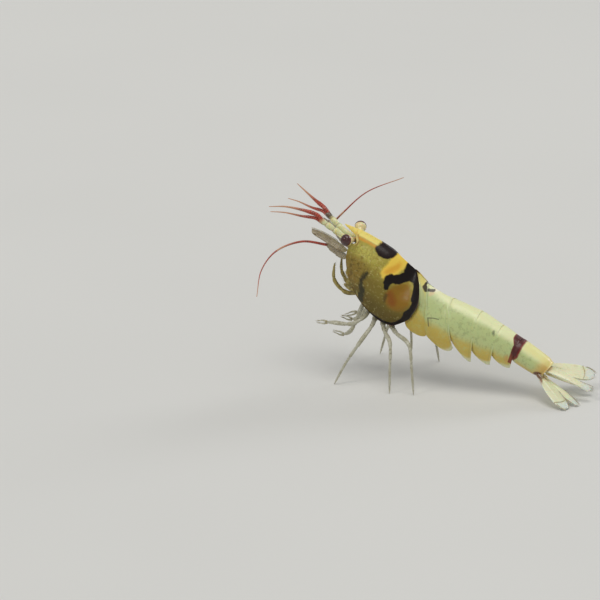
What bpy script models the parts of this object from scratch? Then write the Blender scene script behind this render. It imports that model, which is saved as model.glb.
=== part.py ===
"""An aquarium dwarf shrimp at life size, standing head up with its tail fan on the ground.

The head points to -Y, the left flank to +X and the back to +Z. Sizes below are in millimetres,
and every mesh is scaled to metres when it is made. The trunk is laid out from the nape, the
point of the back where the carapace meets the abdomen:
- the head frame has its axes along the raised carapace: ahead, up and, for both, sideways;
- the abdomen hangs behind it as a chain of tergites, each with a length and a pitch.
Feelers, legs and fan are tubes and blades set on that trunk.
"""

import math

import bpy
import bmesh
from mathutils import Matrix, Vector

MM = 0.001
GAP = 0.08

# Stance
NAPE = Vector((-1.7, -1.435, 9.79))
HEAD_PITCH = math.radians(28.0)
BODY_ROLL = math.radians(-5.0)

# Carapace, measured in the head frame
CARAPACE_FRONT = 5.7
CARAPACE_HALF_WIDTH = 2.05
BACK_CREST = 0.36
BACK_CREST_AT = 3.2
BELLY_LEVEL = -5.15
BELLY_AT = 0.3
CHANNEL_DEPTH = 1.35
PLATE = 0.45
NAPE_LEAN = math.radians(-4.0)
FLANK_BULGE = 0.8
FLANK_BULGE_DEPTH = 3.35
MARGIN_REACH = -1.75
MARGIN_DEPTH = 4.7
RIGHT_BULGE = 0.25
ORBIT_DEPTH = 0.38
ROSTRUM_TIP = 7.15
ROSTRUM_TEETH = 4
WRAP = math.radians(125.0)
LAST_WRAP = math.radians(150.0)

# Abdomen: length and pitch of each tergite, then lean, half width and depth of the belly at the
# joint behind it; last, how deep its side plates hang in front and behind, and their swell
TERGITES = (
    (1.67, 51.2, -5.6, 1.90, 2.75, 4.15, 3.85, 0.48),
    (2.32, 22.0, -9.0, 1.90, 2.40, 3.75, 3.45, 0.85),
    (2.66, 18.6, 5.6, 1.74, 2.10, 3.25, 3.60, 0.50),
    (2.13, 27.4, 13.0, 1.50, 1.70, 3.00, 2.88, 0.34),
    (1.95, 28.8, 18.0, 1.22, 1.40, 2.30, 2.15, 0.38),
    (3.46, 31.0, 42.0, 0.98, 1.20, 1.92, 1.70, 0.05),
)
NAPE_JOINT = (-4.0, 1.90, 3.00)
RIDGES = (3.2, 2.4, 1.4, 1.0)
TERGITE_ARCH = 0.03
FIRST_JOINT_BULGE = 0.35
LATER_JOINT_BULGE = 0.08

# Legs: foot or claw tips and knees are places on the ground plan: ahead of the nape, height, side
COXA_DROP = 0.5
LEG_RADIUS = 0.28
FOOT_RADIUS = 0.25


def head(side, ahead, up):
    """A point of the head frame, in the body's space."""
    cosine, sine = math.cos(HEAD_PITCH), math.sin(HEAD_PITCH)
    return NAPE + Vector((side, up * sine - ahead * cosine, up * cosine + ahead * sine))


def ground(side, ahead, height):
    """A point given by its height over the ground and how far it lies ahead of the nape."""
    return Vector((NAPE.x + side, NAPE.y - ahead, height))


def head_direction(side, ahead, up):
    return (head(side, ahead, up) - NAPE).normalized()


def rolled(point):
    """The body leans a little to its left, about the head frame's long axis."""
    pivot = head(0.0, 0.0, -2.6)
    turn = Matrix.Rotation(BODY_ROLL, 3, head_direction(0.0, 1.0, 0.0))
    return turn @ (point - pivot) + pivot


def blend(low, high, share):
    return low + (high - low) * share


def smooth_step(share):
    share = min(max(share, 0.0), 1.0)
    return share * share * (3.0 - 2.0 * share)


# ---------------------------------------------------------------- meshes


def clear_scene():
    for thing in list(bpy.data.objects):
        bpy.data.objects.remove(thing, do_unlink=True)


def material(name, colour, roughness):
    made = bpy.data.materials.get(name) or bpy.data.materials.new(name)
    made.use_nodes = True
    shader = made.node_tree.nodes["Principled BSDF"]
    shader.inputs["Base Color"].default_value = (*colour, 1.0)
    shader.inputs["Roughness"].default_value = roughness
    shader.inputs["Metallic"].default_value = 0.0
    return made


def make_object(name, bm, look, parent):
    """A smooth-shaded object in metres, with its faces pointing out."""
    bmesh.ops.recalc_face_normals(bm, faces=bm.faces)
    bmesh.ops.triangulate(bm, faces=bm.faces)
    mesh = bpy.data.meshes.new(name)
    bm.to_mesh(mesh)
    bm.free()
    mesh.transform(Matrix.Scale(MM, 4))
    mesh.shade_smooth()
    mesh.materials.append(look)
    made = bpy.data.objects.new(name, mesh)
    bpy.context.collection.objects.link(made)
    made.parent = parent
    return made


def stitch(bm, first, second):
    """Fills the strip between two rows of points, each time across the shorter diagonal."""
    here, there = 0, 0
    while here + 1 < len(first) or there + 1 < len(second):
        corners = [first[here], second[there]]
        if there + 1 == len(second):
            forward = True
        elif here + 1 == len(first):
            forward = False
        else:
            ahead = (first[here + 1].co - second[there].co).length
            forward = ahead < (first[here].co - second[there + 1].co).length
        if forward:
            here += 1
            corners.append(first[here])
        else:
            there += 1
            corners.append(second[there])
        bm.faces.new(corners)


def close_end(bm, ring, outer, rungs):
    """Fills an arched section by rungs from side to side, then down its flanks.

    The first points of the ring, outer in number, are the arch; the rest, if any, are the
    hollow below it, whose roof is their middle point.
    """
    top = outer // 2
    inner = ring[outer:]
    lowest = rungs if inner else top
    bm.faces.new((ring[top - 1], ring[top], ring[top + 1]))
    stitch(bm, ring[top - lowest : top][::-1], ring[top + 1 : top + lowest + 1])
    if inner:
        roof = len(inner) // 2
        bm.faces.new((ring[top - lowest], ring[top + lowest], inner[roof]))
        stitch(bm, ring[top + lowest : outer], inner[: roof + 1][::-1])
        stitch(bm, ring[: top - lowest + 1][::-1], inner[roof:])


def loft(rings, outer=None, rungs=0):
    """A closed body through rings of equal point counts, filled at both ends."""
    bm = bmesh.new()
    rows = [[bm.verts.new(point) for point in ring] for ring in rings]
    for row, following in zip(rows, rows[1:]):
        for index in range(len(row)):
            after = (index + 1) % len(row)
            bm.faces.new((row[index], row[after], following[after], following[index]))
    for row in (rows[0], rows[-1]):
        if outer:
            close_end(bm, row, outer, rungs)
        else:
            bm.faces.new(row)
    return bm


def spline(points, steps):
    """A smooth curve through the points, with the given number of steps between two of them."""
    ends = [2 * points[0] - points[1], *points, 2 * points[-1] - points[-2]]
    curve = []
    for before, here, after, later in zip(ends, ends[1:], ends[2:], ends[3:]):
        for step in range(steps):
            t = step / steps
            curve.append(
                0.5
                * (
                    2 * here
                    + (after - before) * t
                    + (2 * before - 5 * here + 4 * after - later) * t**2
                    + (3 * here - before - 3 * after + later) * t**3
                )
            )
    return [*curve, points[-1].copy()]


def tube(path, radii, sides=6, first_normal=None, foot=False):
    """A tapering tube along a path. A foot ends on a flat at ground level."""
    count = len(path)
    tangents = [(path[min(i + 1, count - 1)] - path[max(i - 1, 0)]).normalized() for i in range(count)]
    if first_normal:
        tangents[0] = first_normal.normalized()
    across = tangents[0].orthogonal().normalized()
    rings = []
    for place, tangent, radius in zip(path, tangents, radii):
        across = (across - tangent * across.dot(tangent)).normalized()
        other = tangent.cross(across)
        ring = []
        for side in range(sides):
            angle = 2.0 * math.pi * side / sides
            ring.append(place + (across * math.cos(angle) + other * math.sin(angle)) * radius)
        rings.append(ring)
    if foot:
        for point in rings[-1]:
            point.z = 0.0
    return loft(rings)


def taper(count, stations):
    """Radii for a path of count points, read between (share of the length, radius) stations."""
    radii = []
    for index in range(count):
        share = index / (count - 1)
        for (low, first), (high, second) in zip(stations, stations[1:]):
            if share <= high:
                radii.append(blend(first, second, (share - low) / (high - low)))
                break
    return radii


def blade(base, tip, across, half_width, thickness, steps=7, bow=0.0):
    """A flat leaf from base to tip. half_width is a function of the share of its length."""
    along = (tip - base).normalized()
    across = (across - along * across.dot(along)).normalized()
    normal = along.cross(across)
    rings = []
    for step in range(steps + 1):
        share = 0.5 - 0.5 * math.cos(math.pi * step / steps)
        centre = base.lerp(tip, share) + normal * bow * math.sin(math.pi * share)
        width = half_width(share)
        depth = min(thickness / 2, width)
        ring = []
        for side in range(8):
            angle = math.pi * (side + 0.5) / 4.0
            sideways = across * math.copysign(abs(math.cos(angle)) ** 0.8, math.cos(angle)) * width
            ring.append(centre + sideways + normal * math.sin(angle) * depth)
        rings.append(ring)
    return rings


def on_the_ground(rings):
    """Presses whatever would reach below the ground flat onto it."""
    for ring in rings:
        for point in ring:
            point.z = max(point.z, 0.0)
    return rings


# ---------------------------------------------------------------- trunk


def nape_margin(depth, side):
    """How far the carapace's rear edge bulges back, at a depth below the nape. Less on the right."""
    upper = FLANK_BULGE * math.sin(math.pi * min(depth / FLANK_BULGE_DEPTH, 1.0))
    upper *= blend(RIGHT_BULGE, 1.0, smooth_step((side + 1.0) / 2.0))
    below = max(depth - FLANK_BULGE_DEPTH, 0.0)
    return upper - 0.35 * below - 0.8 * below**2


def rear_limit(up, side):
    """Where the carapace's rear edge lies along the head frame, at a level of that frame."""
    cosine, sine = math.cos(HEAD_PITCH), math.sin(HEAD_PITCH)
    shallow, deep = 0.0, MARGIN_DEPTH
    for _ in range(24):
        depth = (shallow + deep) / 2
        forward = depth * math.sin(NAPE_LEAN) - nape_margin(depth, side)
        drop = -depth * math.cos(NAPE_LEAN)
        if drop * cosine - forward * sine > up:
            shallow = depth
        else:
            deep = depth
    return forward * cosine + drop * sine


def front_limit(up):
    """Where the carapace's front edge lies: notched at the orbit and rounded off below."""
    notch = ORBIT_DEPTH * math.exp(-(((up + 0.45) / 0.3) ** 2))
    return CARAPACE_FRONT - notch - 0.2 * max(0.0, -up - 0.95) ** 2


def back_line(ahead):
    bend = ((ahead - BACK_CREST_AT) / BACK_CREST_AT) ** 2
    return BACK_CREST - BACK_CREST * bend * (1.0 if ahead < BACK_CREST_AT else 0.7)


def belly_line(ahead):
    rise = 0.25 if ahead < BELLY_AT else 0.085
    return BELLY_LEVEL + rise * (ahead - BELLY_AT) ** 2


def carapace_half_width(ahead):
    return CARAPACE_HALF_WIDTH * (1.0 - 0.012 * (ahead + 0.2) ** 2)


def ridged(angle, sharpness):
    """The sine of an angle round the body, drawn in towards the back for a sharper ridge."""
    sine = math.sin(angle)
    if abs(angle) >= math.pi / 2:
        return sine
    return math.copysign(abs(sine) ** sharpness, sine)


def flank(ahead, angle):
    """Side and level of the carapace's skin, at an angle round from the back's ridge.

    Behind the nape its width goes by the distance from the nape, as in the first tergite.
    """
    depth = back_line(ahead) - belly_line(ahead)
    share = (1.0 - math.cos(angle)) / (1.0 - math.cos(WRAP))
    up = back_line(ahead) - depth * share
    if ahead < 0.0 and angle != 0.0:
        full = blend(-belly_line(0.0), TERGITES[0][5], min(ahead / MARGIN_REACH, 1.0))
        turned = 1.0 - math.hypot(ahead, up) / full * (1.0 - math.cos(WRAP))
        angle = math.copysign(math.acos(max(turned, math.cos(WRAP))), angle)
    sharpness = blend(RIDGES[0], 1.0, smooth_step((ahead + 0.8) / 3.5))
    return carapace_half_width(ahead) * ridged(angle, sharpness), up


def carapace_line(shape, share, inset=0.0):
    """A point of one of the carapace's lines, whose (side, level) the shape gives by ahead."""
    front, rear = CARAPACE_FRONT, 0.0
    for _ in range(12):
        front = front_limit(shape(front)[1])
        rear = rear_limit(*reversed(shape(rear)))
    ahead = blend(front - inset, rear + inset, share)
    side, up = shape(ahead)
    return head(side, ahead, up)


def channel_roof(ahead):
    return belly_line(ahead) + CHANNEL_DEPTH


def channel_points():
    """The lines of the hollow under the carapace, from the left lip over the roof to the right."""
    shapes = []
    for sign in (1, -1):
        lip = lambda a, s=sign: (s * (flank(a, WRAP)[0] - PLATE), belly_line(a) + 0.05)
        corner = lambda a, s=sign: (s * (flank(a, WRAP)[0] - PLATE), channel_roof(a) - 0.1)
        shapes.append((lip, corner))
    roof = lambda a: (0.0, channel_roof(a) + 0.1)
    return [shapes[0][0], shapes[0][1], roof, shapes[1][1], shapes[1][0]]


def carapace():
    """The shield over head and chest: arched over the back, open below."""
    lines = []
    half = 10
    for index in range(-half, half + 1):
        angle = WRAP * index / half
        lines.append(lambda a, t=angle: flank(a, t))
    lines.extend(channel_points())
    stations = 9
    rings = []
    for station in range(stations + 1):
        share = station / stations
        rings.append([rolled(carapace_line(line, share, GAP)) for line in lines])
    return loft(rings, outer=2 * half + 1, rungs=7)


def rostrum_rings():
    """The beak over the eyes: a keel with a row of low teeth along its top."""
    rings = []
    steps = 2 * ROSTRUM_TEETH
    root = 3.4
    for step in range(steps + 1):
        share = step / steps
        ahead = blend(root, ROSTRUM_TIP, share)
        tooth = 0.07 * (step % 2)
        top = blend(back_line(root) + 0.04, -0.02, share**2.2) + tooth * (1.0 - share)
        sunk = blend(back_line(root) - 0.35, -0.22, smooth_step(share * 1.6))
        bottom = blend(sunk, -0.2, share)
        thick = blend(0.27, 0.12, share)
        middle = blend(bottom, top, 0.35)
        section = ((0.0, top), (-0.45 * thick, top - 0.1), (-thick, middle), (-0.3 * thick, bottom))
        right = [head(side, ahead, up) for side, up in section]
        left = [head(-side, ahead, up) for side, up in section[:0:-1]]
        rings.append([rolled(point) for point in right + left])
    return rings


def joint_table():
    """The joints along the back: their place and the shape of the trunk there."""
    joints = [(NAPE.copy(), *NAPE_JOINT)]
    place = NAPE.copy()
    for length, pitch, *shape in TERGITES:
        angle = math.radians(pitch)
        place = place + Vector((0.0, length * math.cos(angle), -length * math.sin(angle)))
        joints.append((place, *shape[:3]))
    return joints


JOINTS = joint_table()


def joint_point(index, side, depth):
    """A point of the surface in which two neighbours meet, at a side and a depth."""
    place, lean = JOINTS[index][0], math.radians(JOINTS[index][1])
    if index == 0:
        back = nape_margin(depth, side)
    else:
        bulge = FIRST_JOINT_BULGE if index == 1 else LATER_JOINT_BULGE
        back = bulge * math.sin(math.pi * min(depth / 4.0, 1.0))
    down = Vector((0.0, -math.sin(lean), -math.cos(lean)))
    return place + Vector((side, back, 0.0)) + down * depth


def tergite_profile(index, share):
    """The (side, depth) points of a tergite's section: its arch, then the hollow inside."""
    _, _, width_a, belly_a = JOINTS[index]
    _, _, width_b, belly_b = JOINTS[index + 1]
    front, rear, swell = TERGITES[index][5:]
    width = blend(width_a, width_b, share)
    depth = blend(front, rear, share) + swell * max(math.sin(math.pi * share**1.4), 0.0) ** 0.5
    belly = blend(belly_a, belly_b, share)
    wrap = LAST_WRAP if index == 5 else WRAP
    sharpness = blend(RIDGES[min(index, 3)], RIDGES[min(index + 1, 3)], share)
    half = 8
    points = []
    for step in range(-half, half + 1):
        angle = wrap * step / half
        rise = (1.0 - math.cos(angle)) / (1.0 - math.cos(wrap))
        points.append((width * ridged(angle, sharpness), depth * rise))
    if index == 5:
        return points
    lip = points[-1][0] - PLATE
    points.append((lip, depth - 0.05))
    points.append((lip, belly + 0.1))
    points.append((0.0, belly - 0.1))
    points.append((-lip, belly + 0.1))
    points.append((-lip, depth - 0.05))
    return points


def tergite(index):
    """One ring of the abdomen, with the side plates that hang down from it."""
    length = TERGITES[index][0]
    margin = 0.5 * GAP / length
    stations = 7
    rings = []
    for station in range(stations + 1):
        part = 0.5 - 0.5 * math.cos(math.pi * station / stations)
        share = blend(margin, 1.0 - margin, part)
        arch = TERGITE_ARCH * math.sin(math.pi * share)
        ring = []
        for side, depth in tergite_profile(index, part):
            front = joint_point(index, side, depth)
            rear = joint_point(index + 1, side, depth)
            lift = arch * (1.0 - smooth_step(depth / 2.5))
            ring.append(rolled(front.lerp(rear, share) + Vector((0.0, 0.0, lift))))
        rings.append(ring)
    return loft(rings, outer=17, rungs=5)


def chest():
    """The sternum, the keel between the legs that fills the hollow of the carapace."""
    rings = []
    stations = 6
    for station in range(stations + 1):
        ahead = blend(3.0, -0.6, station / stations)
        roof = channel_roof(ahead) - GAP - 0.1
        floor = belly_line(ahead) + 0.1
        half = min(0.95, flank(ahead, WRAP)[0] - PLATE - GAP)
        section = (
            (half * 0.8, roof), (half, blend(roof, floor, 0.3)), (half, blend(roof, floor, 0.8)),
            (half * 0.85, floor), (-half * 0.85, floor), (-half, blend(roof, floor, 0.8)),
            (-half, blend(roof, floor, 0.3)), (-half * 0.8, roof),
        )
        rings.append([rolled(head(side, ahead, up)) for side, up in section])
    return loft(rings)


def mouth():
    """Jaws and the folded plates round them, a rounded mass under the head's front."""
    rings = []
    stations, sides = 7, 10
    for station in range(stations + 1):
        share = blend(0.06, 0.97, station / stations)
        swell = math.sqrt(max(1.0 - (2.0 * share - 1.0) ** 2, 0.0)) ** 0.8
        ahead = blend(3.1, 5.15, share)
        middle = blend(-4.05, -3.75, share)
        ring = []
        for side in range(sides):
            angle = 2.0 * math.pi * side / sides
            across = math.cos(angle) * swell * 0.72
            up = middle + math.sin(angle) * swell * 0.95
            roof = channel_roof(ahead) - GAP - 0.02
            ring.append(rolled(head(across, ahead, min(up, roof))))
        rings.append(ring)
    return loft(rings)


# ---------------------------------------------------------------- head


def eye_parts(sign):
    """An eyestalk and the cornea that caps it, both turned out to the side."""
    base = head(sign * 0.56, 5.72, -0.56)
    centre = head(sign * 1.53, 6.1, -0.4)
    along = (centre - base).normalized()
    stalk_end = centre - along * 0.2
    path = [base.lerp(stalk_end, step / 5) for step in range(6)]
    stalk = tube([rolled(p) for p in path], (0.24, 0.25, 0.29, 0.36, 0.42, 0.44), sides=10)
    radius = 0.48
    rings = []
    across = along.orthogonal().normalized()
    other = along.cross(across)
    for step in range(7):
        angle = blend(0.1, 1.82, step / 6)
        place = centre + along * radius * math.cos(angle)
        size = radius * math.sin(angle)
        ring = []
        for side in range(12):
            turn = 2.0 * math.pi * side / 12
            ring.append(rolled(place + (across * math.cos(turn) + other * math.sin(turn)) * size))
        rings.append(ring)
    return stalk, loft(rings)


def antennule_path(sign):
    """The stalk of a first feeler. The right one is turned further out."""
    splay = 0.06 if sign > 0 else -0.6
    points = [head(sign * 0.4, 5.84, -1.08), head(sign * 0.42, 7.2, -0.92)]
    points.append(head(sign * 0.42 + splay, 9.1, -0.8))
    return points


def antennule(sign):
    path = [rolled(point) for point in spline(antennule_path(sign), 5)]
    radii = taper(len(path), ((0.0, 0.3), (0.45, 0.33), (0.5, 0.28), (0.72, 0.3), (0.76, 0.26), (1.0, 0.27)))
    return tube(path, radii, sides=8)


def antennule_whip(sign, outer):
    """One of the two thin whips at the end of a first feeler. They droop away from its axis."""
    end = antennule_path(sign)[-1]
    axis = (end - antennule_path(sign)[-2]).normalized()
    lift = head_direction(0.0, 0.0, 1.0)
    out = Vector((float(sign), 0.0, 0.0))
    start = end + axis * GAP + lift * (0.27 if outer else -0.27)
    droop = (axis - lift * (0.2 if outer else 0.34)).normalized()
    spread = out * (1.0 if outer else 0.2)
    points = [start, start + axis * 0.4, start + droop * 1.6 + spread * 0.2]
    points.append(start + droop * 3.0 + spread * 0.7 - lift * 0.15)
    points.append(start + droop * 4.2 + spread * 1.4 - lift * 0.45)
    path = [rolled(point) for point in spline(points, 3)]
    return tube(path, taper(len(path), ((0.0, 0.24), (1.0, 0.22))))


def antenna_base(sign):
    points = [head(sign * 0.98, 5.72, -2.2), head(sign * 1.06, 6.5, -2.2), head(sign * 1.1, 7.35, -2.1)]
    path = [rolled(point) for point in spline(points, 3)]
    return tube(path, taper(len(path), ((0.0, 0.32), (0.5, 0.31), (1.0, 0.27))), sides=8)


def antenna_scale(sign):
    """The leaf beside each second feeler."""
    base = rolled(head(sign * 1.12, 5.82, -1.56))
    tip = rolled(head(sign * 1.32, 9.2, -1.5))
    across = head_direction(sign * 1.0, 0.0, -0.35)
    width = lambda share: 0.52 * math.sin(math.pi * blend(0.16, 0.97, share)) ** 0.5 + 0.02
    return loft(blade(base, tip, across, width, 0.46))


ANTENNA_ROUTES = {
    1: ((1.15, 7.44, 11.35), (2.2, 9.4, 11.9), (4.1, 10.9, 11.6), (6.2, 11.4, 10.6), (8.4, 10.9, 9.2)),
    -1: ((-1.15, 7.44, 11.35), (-1.95, 8.3, 11.9), (-2.65, 7.5, 13.0), (-3.4, 5.6, 14.8), (-4.1, 2.6, 16.2)),
}


def antenna_lengths(sign):
    """The whip of a second feeler, in a near and a far length."""
    start = head(sign * 1.1, 7.35 + 1.5 * GAP, -2.1)
    route = [start] + [ground(*point) for point in ANTENNA_ROUTES[sign][1:]]
    path = [rolled(point) for point in spline(route, 5)]
    half = len(path) // 2
    near, far = path[: half + 1], path[half:]
    far[0] = far[0].lerp(far[1], GAP / (far[1] - far[0]).length)
    cut = (far[1] - near[-2]).normalized()
    near_tube = tube(near, [0.24] * len(near), first_normal=head_direction(0.0, 1.0, 0.0))
    far_tube = tube(far, taper(len(far), ((0.0, 0.24), (1.0, 0.22))), first_normal=cut)
    return near_tube, far_tube


def maxilliped(sign):
    """The last pair of mouth limbs, reaching up in front of the face."""
    points = [
        head(sign * 0.55, 3.3, -4.98),
        head(sign * 0.72, 4.2, -5.25),
        head(sign * 0.86, 5.5, -4.75),
        head(sign * 0.8, 6.2, -3.4),
    ]
    path = [rolled(point) for point in spline(points, 4)]
    return tube(path, taper(len(path), ((0.0, 0.24), (0.6, 0.26), (1.0, 0.2))))


# ---------------------------------------------------------------- limbs

# For each leg: where its hip lies along the chest, then the way from knee to tip, each point by
# its side, how far it is ahead of the nape and its height, for the left and for the right
LEGS = (
    (2.35, ((1.1, 4.75, 5.5), (1.3, 5.3, 4.1), (1.25, 6.0, 3.55), (1.1, 6.8, 3.6)),
     ((1.1, 4.8, 5.3), (1.35, 5.6, 4.3), (1.3, 6.2, 4.0), (1.1, 6.9, 4.2))),
    (1.62, ((1.75, 4.1, 5.45), (2.5, 4.95, 5.05), (2.6, 6.5, 5.0), (2.1, 8.0, 4.7)),
     ((1.75, 4.0, 5.2), (2.4, 4.6, 4.7), (2.6, 5.7, 4.4), (2.2, 7.0, 4.0))),
    (0.88, ((1.9, 3.3, 4.85), (3.1, 3.76, 3.95), (3.7, 4.9, 2.0), (4.0, 5.86, 0.0)),
     ((1.9, 3.2, 4.9), (3.3, 3.4, 4.1), (3.9, 4.1, 2.0), (4.2, 4.7, 0.0))),
    (0.14, ((2.0, 2.1, 4.6), (3.4, 1.1, 4.1), (4.1, 0.85, 2.0), (4.4, 0.75, 0.0)),
     ((2.0, 2.2, 4.8), (3.5, 1.9, 4.3), (4.3, 1.9, 2.0), (4.6, 2.0, 0.0))),
    (-0.6, ((1.85, 1.1, 4.5), (3.2, -0.5, 4.1), (3.8, -1.0, 2.0), (4.0, -1.25, 0.0)),
     ((1.85, 1.2, 4.7), (3.2, 0.1, 4.4), (3.9, -0.4, 2.1), (4.2, -0.7, 0.0))),
)


def leg(index, sign):
    """A leg from the chest to its tip. The first two pairs end in small pincers off the ground."""
    hip, left, right = LEGS[index]
    floor = belly_line(hip) + 0.1 - GAP
    down = rolled(head(0.0, 0.0, -1.0)) - rolled(head(0.0, 0.0, 0.0))
    points = [rolled(head(sign * 0.62, hip, floor))]
    points.append(rolled(head(sign * 0.78, hip, floor - COXA_DROP)))
    for side, ahead, height in left if sign > 0 else right:
        points.append(ground(sign * side, ahead, height))
    path = spline(points, 3)
    standing = index > 1
    thin = FOOT_RADIUS if standing else 0.24
    radii = taper(len(path), ((0.0, 0.3), (0.2, LEG_RADIUS), (0.6, 0.26), (0.9, thin), (1.0, thin)))
    return tube(path, radii, first_normal=down, foot=standing)


def pleopod(index, sign):
    """A swimming leg, folded back under the abdomen between the side plates."""
    belly = blend(JOINTS[index][3], JOINTS[index + 1][3], 0.4) + GAP
    lip = tergite_profile(index, 0.4)[16][0] - PLATE
    width = min(0.27, 0.5 * (lip - 0.22))
    side = sign * (0.1 + width + 0.04)
    root = joint_point(index, side, belly + 0.12).lerp(joint_point(index + 1, side, belly + 0.12), 0.35)
    back = joint_point(index + 1, side, belly) - joint_point(index, side, belly)
    reach = 1.0 if index in (0, 4) else 1.25
    tip = root + back.normalized() * reach + Vector((0.0, 0.0, -0.42))
    span = lambda share: width * math.sin(math.pi * blend(0.2, 0.93, share)) ** 0.5
    sideways = Vector((1.0, 0.0, 0.0))
    rings = blade(root, tip, sideways, span, 0.3, steps=4)
    return loft([[rolled(point) for point in ring] for ring in rings])


def telson():
    """The middle leaf of the tail fan."""
    base = joint_point(6, 0.0, 0.62) + Vector((0.0, GAP, -0.02))
    tip = base + Vector((0.0, 3.8, -1.46))
    width = lambda share: blend(0.62, 0.3, share) * (1.0 - max(0.0, share - 0.93) * 6.0)
    rings = blade(base, tip, Vector((1.0, 0.0, 0.0)), width, 0.55, bow=0.08)
    return loft([[rolled(point) for point in ring] for ring in rings])


# The fan's side leaves: where base and tip lie (side, ahead of the nape, height), how far the
# outer edge hangs, the half width and the share of the length at which it is widest
FAN = {
    ("exopod", 1): ((0.97, -11.4, 1.98), (2.66, -14.25, 0.12), -0.27, 0.64, 0.68),
    ("exopod", -1): ((-0.97, -11.45, 2.32), (-2.5, -15.15, 1.42), 0.5, 0.78, 0.68),
    ("endopod", 1): ((0.42, -11.7, 1.7), (1.56, -14.95, 0.1), -0.2, 0.4, 0.55),
    ("endopod", -1): ((-0.42, -11.7, 1.82), (-1.22, -15.35, 0.78), 0.0, 0.42, 0.55),
}


def fan_leaf(kind, sign):
    base, tip, hang, half, widest = FAN[(kind, sign)]

    def width(share):
        if share < widest:
            return blend(0.2, half, math.sin(0.5 * math.pi * share / widest))
        return half * max(1.0 - ((share - widest) / (1.0 - widest)) ** 2.4, 0.04) ** 0.5

    across = Vector((sign * 1.0, 0.0, hang))
    rings = blade(ground(*base), ground(*tip), across, width, 0.42)
    return loft(on_the_ground(rings))


# ---------------------------------------------------------------- assembly


def join_rostrum(body, beak):
    """Unites the beak with the shield it grows from."""
    union = body.modifiers.new("rostrum", "BOOLEAN")
    union.operation = "UNION"
    union.solver = "EXACT"
    union.object = beak
    beak.hide_render = True
    beak.display_type = "WIRE"


def build():
    clear_scene()
    shell = material("banded shell", (0.82, 0.72, 0.30), 0.35)
    pale = material("pale shell", (0.72, 0.78, 0.52), 0.35)
    glassy = material("clear limbs", (0.66, 0.64, 0.52), 0.4)
    cream = material("cream fan", (0.85, 0.86, 0.68), 0.4)
    dark = material("dark cornea", (0.05, 0.01, 0.01), 0.15)
    red = material("red whips", (0.45, 0.08, 0.05), 0.4)

    root = bpy.data.objects.new("shrimp", None)
    bpy.context.collection.objects.link(root)

    body = make_object("carapace", carapace(), shell, root)
    join_rostrum(body, make_object("beak", loft(rostrum_rings()), shell, root))
    make_object("chest", chest(), glassy, root)
    make_object("mouthparts", mouth(), glassy, root)
    for index in range(len(TERGITES)):
        make_object(f"abdomen_{index + 1}", tergite(index), pale, root)
    make_object("telson", telson(), cream, root)

    for word, sign in (("left", 1), ("right", -1)):
        stalk, cornea = eye_parts(sign)
        make_object(f"eyestalk_{word}", stalk, glassy, root)
        make_object(f"eye_{word}", cornea, dark, root)
        make_object(f"antennule_{word}", antennule(sign), pale, root)
        make_object(f"antennule_whip_outer_{word}", antennule_whip(sign, True), red, root)
        make_object(f"antennule_whip_inner_{word}", antennule_whip(sign, False), red, root)
        make_object(f"antenna_base_{word}", antenna_base(sign), glassy, root)
        make_object(f"antenna_scale_{word}", antenna_scale(sign), glassy, root)
        near, far = antenna_lengths(sign)
        make_object(f"antenna_near_{word}", near, red, root)
        make_object(f"antenna_far_{word}", far, red, root)
        make_object(f"maxilliped_{word}", maxilliped(sign), glassy, root)
        for index in range(len(LEGS)):
            make_object(f"leg_{index + 1}_{word}", leg(index, sign), glassy, root)
        for index in range(5):
            make_object(f"pleopod_{index + 1}_{word}", pleopod(index, sign), glassy, root)
        for kind in ("exopod", "endopod"):
            make_object(f"{kind}_{word}", fan_leaf(kind, sign), cream, root)


build()
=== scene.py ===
"""The looks of a banded dwarf shrimp: shell plates, limbs, feelers, fan, bristles and their colours.

Lengths are in millimetres and are scaled to metres when a piece is made. The body is laid out as
in the solids: a head frame with its axes along the raised carapace, a chain of tergites behind the
nape, and limbs and feelers as tubes and blades set on that trunk. Every plate is a thin shell over
one inner skin, and the markings are worked out by nodes from places on the body.
"""

import math
import random

import bpy
import bmesh
import numpy as np
from mathutils import Matrix, Vector


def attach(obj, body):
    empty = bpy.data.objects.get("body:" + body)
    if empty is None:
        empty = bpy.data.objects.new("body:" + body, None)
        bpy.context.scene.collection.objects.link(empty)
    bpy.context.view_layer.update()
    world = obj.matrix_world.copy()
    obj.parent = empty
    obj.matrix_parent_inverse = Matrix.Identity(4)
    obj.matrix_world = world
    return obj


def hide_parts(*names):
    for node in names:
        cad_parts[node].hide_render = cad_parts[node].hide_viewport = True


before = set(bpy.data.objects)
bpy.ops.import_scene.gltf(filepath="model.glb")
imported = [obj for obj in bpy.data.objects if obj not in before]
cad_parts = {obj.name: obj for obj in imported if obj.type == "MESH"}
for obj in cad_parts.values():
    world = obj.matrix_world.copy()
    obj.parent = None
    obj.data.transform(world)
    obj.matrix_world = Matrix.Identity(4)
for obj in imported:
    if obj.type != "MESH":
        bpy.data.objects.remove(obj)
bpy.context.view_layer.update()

MM = 0.001
DICE = random.Random(7)

# Stance
NAPE = Vector((-1.7, -1.435, 9.79))
HEAD_PITCH = math.radians(28.0)
BODY_ROLL = math.radians(-5.0)
ROLL_CENTRE_DROP = 2.6

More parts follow.
